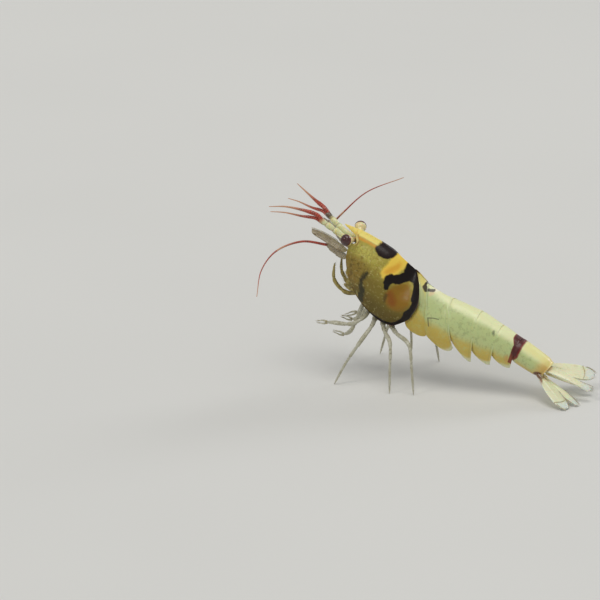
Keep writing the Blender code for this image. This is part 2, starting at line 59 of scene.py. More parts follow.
# Carapace, measured in the head frame
CARAPACE_FRONT = 5.7
CARAPACE_HALF_WIDTH = 2.05
BACK_CREST = 0.36
BACK_CREST_AT = 3.2
BELLY_LEVEL = -5.15
BELLY_AT = 0.3
NAPE_LEAN = math.radians(-4.0)
FLANK_BULGE = 0.8
FLANK_BULGE_DEPTH = 3.35
MARGIN_REACH = -1.75
MARGIN_DEPTH = 4.7
RIGHT_BULGE = 0.25
ORBIT_DEPTH = 0.38
ROSTRUM_ROOT = 3.0
ROSTRUM_TIP = 7.15
ROSTRUM_TEETH = 9
WRAP = math.radians(125.0)
LAST_WRAP = math.radians(150.0)

# Abdomen: length and pitch of each tergite, then lean, half width and depth of the belly at the
# joint behind it; last, how deep its side plates hang in front and behind, and their swell
TERGITES = (
    (1.67, 51.2, -5.6, 1.90, 2.75, 4.10, 3.85, 0.46),
    (2.32, 22.0, -9.0, 1.90, 2.40, 3.75, 3.85, 0.62),
    (2.66, 18.6, 5.6, 1.74, 2.10, 3.25, 4.02, 0.24),
    (2.13, 27.4, 13.0, 1.50, 1.70, 3.00, 3.22, 0.18),
    (1.95, 28.8, 18.0, 1.22, 1.40, 2.30, 2.44, 0.20),
    (3.46, 31.0, 42.0, 0.98, 1.20, 1.92, 1.70, 0.05),
)
NAPE_JOINT = (-4.0, 1.90, 3.00)
RIDGES = (3.2, 2.4, 1.4, 1.0)
FIRST_JOINT_BULGE = 0.35
LATER_JOINT_BULGE = 0.08

# Plates: their thickness, how far they lap their neighbours and stand off at their edges, the share
# of the trunk's width that the inner skin fills, how deep the trunk's middle is taken to lie, and
# how much the back is raised at the first joint of the abdomen
PLATE = 0.09
RING_PLATE = 0.065
LEAF = 0.09
OVERLAP = 0.16
REAR_OVERHANG = 0.1
LIFT = 0.045
SKIN_SHARE = 0.86
CORE_DEPTH = 1.6
HUMP = 0.18
HIP_SPACING = 0.74

# A bristle's radius, and how far its corners lie from its spot in the UV map
HAIR = 0.009
HAIR_SPOT = 0.0015

# View: the camera's bearing and height, how wide the picture is at the shrimp, and where the nape
# lies in it, as shares of its width from the middle to the right and up
VIEW_AZIMUTH = math.radians(111.0)
VIEW_ELEVATION = math.radians(20.0)
VIEW_WIDTH = 50.42
VIEW_DISTANCE = 320.0
NAPE_IN_VIEW = (0.1942, 0.0523)
SENSOR_WIDTH = 36.0


def blend(low, high, share):
    return low + (high - low) * share


def held(share):
    """The share, held between 0 and 1."""
    return min(max(share, 0.0), 1.0)


def smooth_step(share):
    share = held(share)
    return share * share * (3.0 - 2.0 * share)


def signed_power(value, power):
    """A power of the value's size, with the value's sign."""
    return math.copysign(abs(value) ** power, value)


def bump(value, centre, width):
    """A soft hill of height one round the centre."""
    return math.exp(-(((value - centre) / width) ** 2))


def even(count):
    """Shares from 0 to 1 at even steps, the given number of them."""
    return [step / (count - 1) for step in range(count)]


def eased(count, trim=0.0):
    """Shares from about 0 to about 1, in steps that are finer at both ends."""
    return [0.5 - 0.5 * math.cos(math.pi * blend(trim, 1.0 - trim, share)) for share in even(count)]


def turns(count):
    """Angles at even steps round a circle."""
    return [2.0 * math.pi * step / count for step in range(count)]


def square_to(along, direction):
    """The direction without its part along another."""
    return (direction - along * direction.dot(along)).normalized()


def upright(direction):
    """The direction or its opposite, whichever points up."""
    return -direction if direction.z < 0.0 else direction


# ---------------------------------------------------------------- layout


def head(side, ahead, up):
    """A point of the head frame, in the body's space."""
    cosine, sine = math.cos(HEAD_PITCH), math.sin(HEAD_PITCH)
    return NAPE + Vector((side, up * sine - ahead * cosine, up * cosine + ahead * sine))


def sided(sign, *places):
    """Points of the head frame, given for the left and mirrored for the right by the sign."""
    return [head(sign * side, ahead, up) for side, ahead, up in places]


def ground(side, ahead, height):
    """A point given by its height over the ground and how far it lies ahead of the nape."""
    return Vector((NAPE.x + side, NAPE.y - ahead, height))


def head_direction(side, ahead, up):
    return (head(side, ahead, up) - NAPE).normalized()


SIDEWAYS = Vector((1.0, 0.0, 0.0))
FORWARD = head_direction(0.0, 1.0, 0.0)
UPWARD = head_direction(0.0, 0.0, 1.0)
ROLL_CENTRE = head(0.0, 0.0, -ROLL_CENTRE_DROP)
ROLL = Matrix.Rotation(BODY_ROLL, 3, FORWARD)


def rolled(point):
    """The body leans a little to its left, about the head frame's long axis."""
    return ROLL @ (point - ROLL_CENTRE) + ROLL_CENTRE


def spline(points, steps):
    """A smooth curve through the points, with the given number of steps between two of them."""
    ends = [2 * points[0] - points[1], *points, 2 * points[-1] - points[-2]]
    curve = []
    for before, here, after, later in zip(ends, ends[1:], ends[2:], ends[3:]):
        for step in range(steps):
            t = step / steps
            slope = (after - before) * t
            bend = (2 * before - 5 * here + 4 * after - later) * t**2
            twist = (3 * here - before - 3 * after + later) * t**3
            curve.append(0.5 * (2 * here + slope + bend + twist))
    return [*curve, points[-1].copy()]


def resampled(path, spacing):
    """The same path with its points at even steps of about the given length."""
    reach = [0.0]
    for here, after in zip(path, path[1:]):
        reach.append(reach[-1] + (after - here).length)
    count = max(int(reach[-1] / spacing), 2)
    points, leg = [], 0
    for index in range(count + 1):
        wanted = reach[-1] * index / count
        while leg < len(path) - 2 and reach[leg + 1] < wanted:
            leg += 1
        share = (wanted - reach[leg]) / max(reach[leg + 1] - reach[leg], 1e-9)
        points.append(path[leg].lerp(path[leg + 1], min(share, 1.0)))
    return points


def body_path(points, steps, spacing):
    """A smooth path through points of the unrolled body, as it lies after the roll."""
    return resampled([rolled(point) for point in spline(points, steps)], spacing)


def nape_margin(depth, side):
    """How far the carapace's rear edge bulges back, at a depth below the nape. Less on the right."""
    upper = FLANK_BULGE * math.sin(math.pi * min(depth / FLANK_BULGE_DEPTH, 1.0))
    upper *= blend(RIGHT_BULGE, 1.0, smooth_step((side + 1.0) / 2.0))
    below = max(depth - FLANK_BULGE_DEPTH, 0.0)
    return upper - 0.35 * below - 0.8 * below**2


def rear_limit(up, side):
    """Where the carapace's rear edge lies along the head frame, at a level of that frame."""
    cosine, sine = math.cos(HEAD_PITCH), math.sin(HEAD_PITCH)
    shallow, deep = 0.0, MARGIN_DEPTH
    for _ in range(24):
        depth = (shallow + deep) / 2
        forward = depth * math.sin(NAPE_LEAN) - nape_margin(depth, side)
        drop = -depth * math.cos(NAPE_LEAN)
        if drop * cosine - forward * sine > up:
            shallow = depth
        else:
            deep = depth
    return forward * cosine + drop * sine


def front_limit(up):
    """Where the front edge lies: drawn out under the rostrum, then orbit, spine and cheek."""
    notch = ORBIT_DEPTH * bump(up, -0.45, 0.24)
    spine = 0.3 * bump(up, -0.98, 0.085)
    cheek = 0.2 * max(0.0, -up - 0.95) ** 2
    return CARAPACE_FRONT - notch + spine - cheek


def back_line(ahead):
    bend = ((ahead - BACK_CREST_AT) / BACK_CREST_AT) ** 2
    return BACK_CREST - BACK_CREST * bend * (1.0 if ahead < BACK_CREST_AT else 0.7)


def belly_line(ahead):
    rise = 0.25 if ahead < BELLY_AT else 0.085
    return BELLY_LEVEL + rise * (ahead - BELLY_AT) ** 2


def carapace_half_width(ahead):
    return CARAPACE_HALF_WIDTH * (1.0 - 0.012 * (ahead + 0.2) ** 2)


def ridged(angle, sharpness):
    """The sine of an angle round the body, drawn in towards the back for a sharper ridge."""
    sine = math.sin(angle)
    return sine if abs(angle) >= math.pi / 2 else signed_power(sine, sharpness)


def carapace_ridge(ahead):
    """How sharp the carapace's back is, less and less towards the front."""
    return blend(RIDGES[0], 1.0, smooth_step((ahead + 0.8) / 3.5))


def flank(ahead, angle):
    """Side and level of the carapace's skin, at an angle round from the back's ridge.

    Behind the nape its width goes by the distance from the nape, as in the first tergite.
    """
    depth = back_line(ahead) - belly_line(ahead)
    share = (1.0 - math.cos(angle)) / (1.0 - math.cos(WRAP))
    up = back_line(ahead) - depth * share
    if ahead < 0.0 and angle != 0.0:
        full = blend(-belly_line(0.0), TERGITES[0][5], min(ahead / MARGIN_REACH, 1.0))
        turned = 1.0 - math.hypot(ahead, up) / full * (1.0 - math.cos(WRAP))
        angle = math.copysign(math.acos(max(turned, math.cos(WRAP))), angle)
    return carapace_half_width(ahead) * ridged(angle, carapace_ridge(ahead)), up


def joint_table():
    """The joints along the back: their place and the shape of the trunk there."""
    joints = [(NAPE.copy(), *NAPE_JOINT)]
    place = NAPE.copy()
    for length, pitch, *shape in TERGITES:
        angle = math.radians(pitch)
        place = place + Vector((0.0, length * math.cos(angle), -length * math.sin(angle)))
        joints.append((place, *shape[:3]))
    return joints


JOINTS = joint_table()
LEAN, HALF_WIDTH, BELLY = 1, 2, 3
LAST = len(TERGITES) - 1


def between_joints(index, value, share):
    """A value of the trunk's shape, read between the joints before and behind a tergite."""
    return blend(JOINTS[index][value], JOINTS[index + 1][value], share)


def ridge_at(index, share):
    """How sharp the back is along a tergite."""
    last = len(RIDGES) - 1
    return blend(RIDGES[min(index, last)], RIDGES[min(index + 1, last)], share)


def wrap_of(index):
    """How far round the trunk a tergite reaches on each side."""
    return LAST_WRAP if index == LAST else WRAP


def joint_point(index, side, depth):
    """A point of the surface in which two neighbours meet, at a side and a depth."""
    place, lean = JOINTS[index][0], math.radians(JOINTS[index][LEAN])
    if index == 0:
        back = nape_margin(depth, side)
    else:
        bulge = FIRST_JOINT_BULGE if index == 1 else LATER_JOINT_BULGE
        back = bulge * math.sin(math.pi * min(depth / 4.0, 1.0))
    down = Vector((0.0, -math.sin(lean), -math.cos(lean)))
    return place + Vector((side, back, 0.0)) + down * depth


# ---------------------------------------------------------------- meshes


def placed(name, data):
    """An object of the scene that holds the data."""
    made = bpy.data.objects.new(name, data)
    bpy.context.collection.objects.link(made)
    return made


def make_piece(name, points, faces, look, nodes, maps):
    """A smooth closed mesh in metres, riding on the body, with UV maps given by point."""
    mesh = bpy.data.meshes.new(name)
    mesh.from_pydata([tuple(point * MM) for point in np.asarray(points, dtype=float)], [], faces)
    for title, values in maps.items():
        layer = mesh.uv_layers.new(name=title)
        corners = np.empty(len(mesh.loops), dtype=np.int32)
        mesh.loops.foreach_get("vertex_index", corners)
        layer.uv.foreach_set("vector", np.asarray(values, dtype=np.float32)[corners].ravel())
    bm = bmesh.new()
    bm.from_mesh(mesh)
    bmesh.ops.recalc_face_normals(bm, faces=bm.faces)
    bm.to_mesh(mesh)
    bm.free()
    mesh.shade_smooth()
    material, own_slot = LOOKS[look]
    mesh.materials.append(material)
    made = placed(name, mesh)
    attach(made, "root")
    if nodes:
        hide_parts(*nodes)


def lerped(start, end, count):
    """Points at even steps from start to end, the given number of them."""
    return [start.lerp(end, share) for share in even(count)]


def leaf_radii(count, half, start, end, power):
    """Half widths along a leaf that is rounded at its root and its tip."""
    return [half * max(math.sin(math.pi * blend(start, end, share)), 0.02) ** power for share in even(count)]


class Build:
    """Collects the points, faces and UV values of one piece before it is made."""

    def __init__(self):
        self.points, self.faces, self.spots = [], [], []

    def add(self, points, faces, spots):
        start = len(self.points)
        self.points.extend(points)
        self.spots.extend(spots)
        self.faces.extend(tuple(start + corner for corner in face) for face in faces)

    def tube(self, path, radii, sides, flatten=None):
        self.add(*tube(path, radii, sides, flatten))

    def turned(self, path, stations, sides):
        """Adds a tube whose radius is read from (share of the length, radius) stations."""
        self.add(*tube(path, profile(len(path), stations), sides))

    def make(self, name, look, nodes=(), title="shape", slot=None):
        make_piece(name, self.points, self.faces, look, nodes, {title: self.spots})

    def make_hair(self, name, slot):
        """Makes the piece from bristles, which carry the map that the baked export looks for."""
        self.make(name, "bristles", (), "OFBake", slot)


def grid_faces(rows, columns, start=0, wrapped=False):
    """Quads over a grid of points. A wrapped grid joins its last column to its first."""
    faces = []
    for row in range(rows - 1):
        for column in range(columns if wrapped else columns - 1):
            after = (column + 1) % columns
            near, far = start + row * columns, start + (row + 1) * columns
            faces.append((near + column, near + after, far + after, far + column))
    return faces


def closed_skin(name, rings, look, nodes=(), spots=None, title="shape"):
    """A skin over rings of points of the unrolled body, closed by a flat face at each end."""
    rows, sides = len(rings), len(rings[0])
    spots = spots or [(0.5, 0.0)] * rows
    faces = grid_faces(rows, sides, wrapped=True)
    faces.append(tuple(range(sides))[::-1])
    faces.append(tuple(range((rows - 1) * sides, rows * sides)))
    build = Build()
    build.add([rolled(point) for ring in rings for point in ring], faces, np.repeat(spots, sides, axis=0))
    build.make(name, look, nodes, title)


def summed(steps, axis):
    """How far along its axis each point of a grid lies, given the steps between its points."""
    return np.concatenate([np.zeros_like(steps.take([0], axis)), np.cumsum(steps, axis=axis)], axis=axis)


def edge_distances(grid):
    """How far each point lies from the grid's rear edge, its front edge and its nearer side edge."""
    steps = np.linalg.norm(np.diff(grid, axis=0), axis=2)
    from_right = summed(np.linalg.norm(np.diff(grid, axis=1), axis=2), 1)
    under = np.minimum(from_right, from_right[:, -1:] - from_right)
    return summed(steps[::-1], 0)[::-1], summed(steps, 0), under


def grid_normals(grid):
    along = np.gradient(grid, axis=0)
    across = np.gradient(grid, axis=1)
    normals = np.cross(across, along)
    return normals / np.maximum(np.linalg.norm(normals, axis=2, keepdims=True), 1e-9)


def border(rows, columns):
    """The grid's edge points in order, as (row, column) pairs."""
    top = [(0, column) for column in range(columns)]
    right = [(row, columns - 1) for row in range(1, rows)]
    bottom = [(rows - 1, column) for column in range(columns - 2, -1, -1)]
    left = [(row, 0) for row in range(rows - 2, 0, -1)]
    return top + right + bottom + left


def shell(name, grid, thickness, look, nodes, maps, outward=None):
    """A plate of even thickness under the grid, with a rounded lip round its edge.

    A plate of the trunk gives its own outward directions, and takes the body's roll.
    """
    rows, columns = grid.shape[:2]
    inner = grid - (grid_normals(grid) if outward is None else outward) * thickness
    middle = (grid + inner) * 0.5
    edge = border(rows, columns)
    lip, lip_sources = [], []
    for row, column in edge:
        inward = (min(max(row, 1), rows - 2), min(max(column, 1), columns - 2))
        away = middle[row, column] - middle[inward]
        away /= max(np.linalg.norm(away), 1e-9)
        lip.append(middle[row, column] + away * thickness * 0.5)
        lip_sources.append(row * columns + column)
    count = rows * columns
    points = np.concatenate([grid.reshape(-1, 3), inner.reshape(-1, 3), np.array(lip)])
    if outward is not None:
        points = [rolled(Vector(point)) for point in points]
    faces = grid_faces(rows, columns)
    faces += [face[::-1] for face in grid_faces(rows, columns, start=count)]
    for index, source in enumerate(lip_sources):
        after = (index + 1) % len(lip_sources)
        here, there = 2 * count + index, 2 * count + after
        follower = lip_sources[after]
        faces.append((source, follower, there, here))
        faces.append((here, there, count + follower, count + source))
    spread = {}
    for title, values in maps.items():
        flat = np.asarray(values, dtype=float).reshape(-1, 2)
        spread[title] = np.concatenate([flat, flat, flat[lip_sources]])
    make_piece(name, points, faces, look, nodes, spread)


def spot_at(path, share):
    """The number of the path's point at a share of its length."""
    return int(share * (len(path) - 1))


def heading(path, index, reach=1):
    """The path's direction at one of its points."""
    return (path[min(index + reach, len(path) - 1)] - path[max(index - reach, 0)]).normalized()


def tube(path, radii, sides=14, flatten=None):
    """Points, faces and spots of a tube with rounded ends. A spot is (share round, share along).

    flatten, if given, is (axis, factor) and squeezes the section along that axis.
    """
    count = len(path)
    across = heading(path, 0).orthogonal().normalized()
    points, spots = [], []
    for index, (place, radius) in enumerate(zip(path, radii)):
        tangent = heading(path, index)
        across = square_to(tangent, across)
        other = tangent.cross(across)
        for side, angle in enumerate(turns(sides)):
            offset = (across * math.cos(angle) + other * math.sin(angle)) * radius
            if flatten:
                axis, factor = flatten
                offset -= axis * offset.dot(axis) * (1.0 - factor)
            points.append(place + offset)
            spots.append((abs(2.0 * side / sides - 1.0), index / (count - 1)))
    faces = grid_faces(count, sides, wrapped=True)
    for end, row in enumerate((0, count - 1)):
        tip = len(points)
        points.append(path[row] + heading(path, row) * (2.0 * end - 1.0) * radii[row] * 0.5)
        spots.append((0.5, float(end)))
        for side in range(sides):
            corners = (row * sides + side, row * sides + (side + 1) % sides, tip)
            faces.append(corners if end else corners[::-1])
    return points, faces, spots


def profile(count, stations):
    """Values for count steps, read smoothly between (share of the length, value) stations."""
    values = []
    for index in range(count):
        share = index / (count - 1)
        for (low, first), (high, second) in zip(stations, stations[1:]):
            if share <= high:
                values.append(blend(first, second, smooth_step((share - low) / (high - low))))
                break
    return values


def bristle(build, root, direction, length, radius=HAIR, bend=None, spot=(0.5, 0.5)):
    """A fine tapering hair, three-sided, that may bend towards a second direction."""
    direction = direction.normalized()
    bend = (bend or direction).normalized()
    across = direction.orthogonal().normalized()
    other = direction.cross(across)
    points, spots = [], []
    for share, size in ((0.0, 1.0), (0.5, 0.7)):
        place = root + (direction * (1.0 - share) + direction.lerp(bend, 0.5) * share) * length * share
        for angle in turns(3):
            cosine, sine = math.cos(angle), math.sin(angle)
            points.append(place + (across * cosine + other * sine) * radius * size)
            spots.append((spot[0] + HAIR_SPOT * cosine, spot[1] + HAIR_SPOT * sine))
    points.append(root + (direction + bend).normalized() * length)
    spots.append(spot)
    faces = [(0, 2, 1)]
    for side in range(3):
        after = (side + 1) % 3
        faces += [(side, after, 3 + after, 3 + side), (3 + side, 3 + after, 6)]
    build.add(points, faces, spots)


# ---------------------------------------------------------------- materials


def srgb(red, green, blue):
    """A colour given as it looks on a screen, from 0 to 255, in the renderer's own terms."""
    values = []
    for part in (red, green, blue):
        part /= 255.0
        values.append(part / 12.92 if part <= 0.04045 else ((part + 0.055) / 1.055) ** 2.4)
    return (*values, 1.0)


def feed(tree, place, value):
    """Gives a node's input a field, a socket or a constant."""
    if isinstance(value, Field):
        value = value.socket
    if isinstance(value, bpy.types.NodeSocket):
        tree.links.new(value, place)
    else:
        place.default_value = value


class Field:
    """A number that a material's nodes work out at each point of a surface."""

    def __init__(self, tree, socket):
        self.tree, self.socket = tree, socket

    def math(self, operation, *others):
        node = self.tree.nodes.new("ShaderNodeMath")
        node.operation = operation
        for place, value in zip(node.inputs, (self, *others)):
            feed(self.tree, place, value)
        return Field(self.tree, node.outputs[0])

    def __add__(self, other):
        return self.math("ADD", other)

    def __sub__(self, other):
        return self.math("SUBTRACT", other)

    def __mul__(self, other):
        return self.math("MULTIPLY", other)

    def __truediv__(self, other):
        return self.math("DIVIDE", other)

    def __abs__(self):
        return self.math("ABSOLUTE")

    def least(self, *others):
        """The smallest of the fields."""
        found = self
        for other in others:
            found = found.math("MINIMUM", other)
        return found

    def most(self, *others):
        """The largest of the fields."""
        found = self
        for other in others:
            found = found.math("MAXIMUM", other)
        return found

    def length_with(self, other):
        return (self * self + other * other).math("POWER", 0.5)

    def ramp(self, start, end, low=0.0, high=1.0):
        """Goes smoothly from low at start to high at end."""
        if start > end:
            start, end, low, high = end, start, high, low
        node = self.tree.nodes.new("ShaderNodeMapRange")
        node.interpolation_type = "SMOOTHSTEP"
        settings = (self, start, end, low, high)
        for title, value in zip(("Value", "From Min", "From Max", "To Min", "To Max"), settings):
            feed(self.tree, node.inputs[title], value)
        return Field(self.tree, node.outputs["Result"])


class Look:
    """A material whose colour is laid on coat by coat, each through a mask."""

    def __init__(self, name, base, roughness=0.35, coat=0.0, constants=()):
        self.material = bpy.data.materials.new(name)
        self.material.use_nodes = True
        self.tree = self.material.node_tree
        self.shader = self.tree.nodes["Principled BSDF"]
        gloss = (("Roughness", roughness), ("Coat Weight", coat), ("Coat Roughness", 0.12))
        for title, value in (*gloss, *constants):
            self.shader.inputs[title].default_value = value
        self.colour = self.mix(1.0, srgb(*base), srgb(*base))
        self.place, self.wobble = None, None

    def node(self, kind, **settings):
        """A new node with some of its inputs given."""
        made = self.tree.nodes.new("ShaderNode" + kind)
        for title, value in settings.items():
            feed(self.tree, made.inputs[title], value)
        return made

    def mix(self, mask, first, second):
        made = self.node("Mix")
        made.data_type = "RGBA"
        for place, value in zip((0, 6, 7), (mask, first, second)):
            feed(self.tree, made.inputs[place], value)
        return made.outputs[2]

    def lay(self, mask, colour, share=1.0):
        """Covers what is there with a colour, where and as far as the mask and the share say."""
        self.colour = self.mix(mask if share == 1.0 else mask * share, self.colour, srgb(*colour))

    def mottle(self, noise, edge, colour, share):
        """Lays a coat where a noise, given by its settings, lies past an edge."""
        self.lay(self.noise(*noise).ramp(*edge), colour, share)

    def patch(self, shape, ragged, edge, colour, share=1.0):
        """Lays a coat inside a shape with a ragged outline. edge is where it starts and is full."""
        self.lay((shape + self.wobble * ragged).ramp(*edge), colour, share)

    def measure(self, origin=(0.0, 0.0, 0.0), turn=(0.0, 0.0, 0.0)):
        """The point's coordinates in millimetres as three fields. Noise goes by them from then on."""
        place = self.node("TexCoord").outputs["Object"]
        scale = (1.0 / MM, 1.0 / MM, 1.0 / MM)
        mapping = self.node("Mapping", Vector=place, Location=origin, Rotation=turn, Scale=scale)
        self.place = mapping.outputs["Vector"]
        return self.split(self.place)

    def split(self, socket):
        parts = self.node("SeparateXYZ", Vector=socket)
        return [Field(self.tree, parts.outputs[axis]) for axis in range(3)]

    def measure_head(self):
        """Ahead, side and up of the point in the head frame, before the body's roll."""
        axes = Matrix((FORWARD, SIDEWAYS, UPWARD))
        turn = axes @ ROLL.inverted()
        origin = turn @ -ROLL_CENTRE + axes @ (ROLL_CENTRE - NAPE)
        return self.measure(origin, turn.to_euler("XYZ"))

    def uv(self, title):
        """The two numbers that a UV map gives the point."""
        node = self.node("UVMap")
        node.uv_map = title
        return self.split(node.outputs["UV"])[:2]

    def noise(self, scale, detail=2.0, roughness=0.5):
        """Cloudy noise from about 0 to 1 with its middle at 0.5, scale being its cells per millimetre."""
        node = self.node("TexNoise", Scale=scale, Detail=detail, Roughness=roughness, Vector=self.place)
        return Field(self.tree, node.outputs["Fac"])

    def cells(self, scale, feature="F1"):
        """Distance from the middle or the edge of the nearest cell."""
        node = self.node("TexVoronoi", Scale=scale, Vector=self.place)
        node.feature = feature
        return Field(self.tree, node.outputs["Distance"])

    def relief(self, height, distance, strength=1.0):
        """Bumps up to the distance in millimetres where the height field is one."""
        bumps = self.node("Bump", Strength=strength, Distance=distance * MM, Height=height)
        feed(self.tree, self.shader.inputs["Normal"], bumps.outputs["Normal"])

    def drive(self, words, field):
        feed(self.tree, self.shader.inputs[words], field)

    def finish(self):
        self.drive("Base Color", self.colour)
        return self.material


def soft(weight, depth):
    """Constants for skin that light enters, to a depth in millimetres."""
    return (("Subsurface Weight", weight), ("Subsurface Scale", depth * MM))


def clear(weight):
    """Constants for shell that lets some light through."""
    return (("Transmission Weight", weight), ("IOR", 1.36))


def oval(x, y, centre, reach, turn=0.0):
    """Distance outside an oval of the given half lengths, negative inside it."""
    cosine, sine = math.cos(math.radians(turn)), math.sin(math.radians(turn))
    dx, dy = x - centre[0], y - centre[1]
    along = (dx * cosine + dy * sine) / reach[0]
    across = (dy * cosine - dx * sine) / reach[1]
    return (along.length_with(across) - 1.0) * min(reach)


def stroke(x, y, start, end, width, end_width):
    """Distance outside a stroke with round ends, negative inside it. width is half its breadth."""
    run = (end[0] - start[0], end[1] - start[1])
    square = run[0] ** 2 + run[1] ** 2
    dx, dy = x - start[0], y - start[1]
    share = ((dx * run[0] + dy * run[1]) / square).most(0.0).least(1.0)
    off = (dx - share * run[0]).length_with(dy - share * run[1])
    return off - (share * (end_width - width) + width)


def line(x, y, places, width, end_width=None):
    """A stroke along several places, its breadth changing evenly from the first to the last."""
    breadths = [blend(width, end_width or width, share) for share in even(len(places))]
    parts = zip(places, places[1:], breadths, breadths[1:])
    found, *others = [stroke(x, y, *part) for part in parts]
    return found.least(*others)


def carapace_look():
    """Yellow shell with black bands. Ahead is a, up is b and the side is s, all in millimetres."""
    gloss = (("Specular IOR Level", 0.25),)
    look = Look("carapace shell", (178, 164, 74), 0.36, 0.05, soft(0.12, 0.6) + gloss)
    a, s, b = look.measure_head()
    side = abs(s)
    wide = (look.noise(0.9, 3.0) - 0.5) * 0.7
    grain = look.noise(5.0, 3.0, 0.6)
    wobble = look.wobble = (look.noise(3.2, 3.0, 0.65) - 0.5) * 0.34

    # The shell is darker and more olive towards the belly, partly its own colour and partly painted shade of
    # the lower flank
    look.lay((b + wide * 0.5).ramp(-0.8, -2.4), (130, 114, 44))
    look.lay((b + wide * 0.5).ramp(-2.6, -4.2), (90, 76, 25), 0.8)
    look.lay(grain.ramp(0.48, 0.72), (124, 110, 50), 0.28)
    look.lay(grain.ramp(0.45, 0.3), (216, 204, 140), 0.3)
    # Pale field behind the eye, with faint mottling
    look.patch(oval(a, b, (4.35, -0.75), (1.2, 0.55), -12.0), 1.0, (0.3, -0.35), (202, 194, 100), 0.8)
    # A brownish network with pale cells over the side and the cheek
    netted = a.ramp(1.4, 2.8) * b.ramp(0.1, -0.5)
    veins = abs(look.noise(1.9, 3.0, 0.55) - 0.5).ramp(0.045, 0.0)
    look.lay(veins * netted, (134, 102, 44), 0.45)
    look.lay(look.noise(3.6, 2.0).ramp(0.56, 0.66) * netted, (222, 214, 148), 0.35)
    # Cheek: brownish, mottled, with a dark ragged gap behind it
    cheek = (oval(a, b, (4.3, -2.35), (1.25, 1.25)) + wobble).ramp(0.35, -0.3)
    look.lay(cheek, (146, 120, 48), 0.6)
    look.lay(cheek * look.noise(2.6, 4.0, 0.7).ramp(0.52, 0.62), (96, 78, 28), 0.65)
    gap = line(a, b, ((3.2, -1.95), (3.32, -2.8), (2.86, -3.6), (2.66, -4.4)), 0.2, 0.3)
    look.patch(gap, 1.6, (0.12, -0.16), (42, 44, 27), 0.9)
    # Back: a yellow stripe from the rostrum to the first blotch, with an orange border below it
    look.lay(a.ramp(3.0, 3.7) * side.ramp(0.62, 0.42), (248, 224, 122))
    border_line = a.ramp(3.2, 3.8) * (abs(side - 0.66) + wobble * 0.3).ramp(0.16, 0.04)
    look.lay(border_line, (222, 158, 52), 0.8)
    # Cream rim round the orbit, with a brown line behind it
    rim = ((5.62, -0.04), (5.3, -0.25), (5.24, -0.45), (5.34, -0.66))
    nearer = [(ahead + 0.08, up) for ahead, up in rim]
    look.patch(line(a, b, rim, 0.1, 0.05), 0.25, (0.08, -0.06), (150, 96, 40), 0.6)
    look.patch(line(a, b, nearer, 0.07, 0.03), 0.2, (0.06, -0.04), (240, 220, 142), 0.8)
    # Orange patch between the blotch and the band
    orange = line(a, b, ((1.45, 0.15), (1.55, -0.5), (1.75, -0.95)), 0.72, 0.5)
    look.patch(orange, 1.0, (0.14, -0.12), (254, 212, 88))
    look.patch(line(a, b, ((1.35, -0.3), (1.75, -0.85)), 0.34), 1.0, (0.1, -0.3), (240, 172, 58), 0.8)
    # Branchial patch under the band: orange above and behind, brown in front, olive below
    look.patch(oval(a, b, (-0.15, -2.2), (1.05, 1.15), 18.0), 1.0, (0.25, -0.25), (146, 108, 31))
    rust = line(a, b, ((0.62, -2.3), (0.1, -2.75)), 0.26, 0.36)
    look.patch(rust, 0.9, (0.24, -0.24), (140, 80, 26), 0.8)
    streak = line(a, b, ((0.85, -2.55), (0.72, -3.1)), 0.14, 0.08)
    look.patch(streak, 0.8, (0.14, -0.1), (72, 60, 24), 0.7)
    # Black: a saddle blotch over the back, the slanting band and the ring along the edge
    black = (20, 12, 10)
    look.patch(oval(a, b, (2.87, 0.22), (0.9, 0.44), -6.0), 0.5, (0.05, -0.05), (28, 10, 6))
    slant = line(a, b, ((0.35, 0.1), (0.2, -0.55), (0.62, -1.05), (1.45, -1.3)), 0.52, 0.3)
    drop = line(a, b, ((1.3, -1.3), (1.32, -1.62), (1.18, -1.98)), 0.42, 0.22)
    web = line(a, b, ((0.2, -0.55), (-0.75, -0.5)), 0.34)
    look.patch(slant.least(drop, web), 0.6, (0.06, -0.06), black)
    back, under = look.uv("rim")
    ring = back - (b.ramp(-1.2, -2.2, 0.62, 0.54) + b.ramp(-2.2, -3.0) * 0.24)
    shoulder = ((0.1, 0.1), (-0.35, -0.2), (-0.75, -0.45), (-1.15, -1.0), (-1.35, -1.5))
    look.patch(ring.least(line(a, b, shoulder, 0.48, 0.26)), 0.45, (0.06, -0.06), black)
    # On the right the ring starts lower, and the edge above it is yellow
    bare = (s + wobble).ramp(-0.2, -0.4) * (b + wobble).ramp(-1.4, -1.15) * back.ramp(0.95, 0.75)
    look.lay(bare, (246, 224, 130))
    hem = under - a.ramp(-1.0, 2.6, 0.42, 0.07)
    look.lay((hem + wobble * 0.3).ramp(0.05, -0.05) * a.ramp(3.4, 2.2), black)
    # Clear border and fine relief
    look.lay(back.least(under).ramp(0.05, 0.0), (150, 140, 110), 0.35)
    look.relief(grain * 0.6 + look.noise(22.0, 2.0) * 0.4, 0.02, 0.6)
    look.drive("Roughness", grain.ramp(0.3, 0.7, 0.28, 0.42))
    return look.finish()


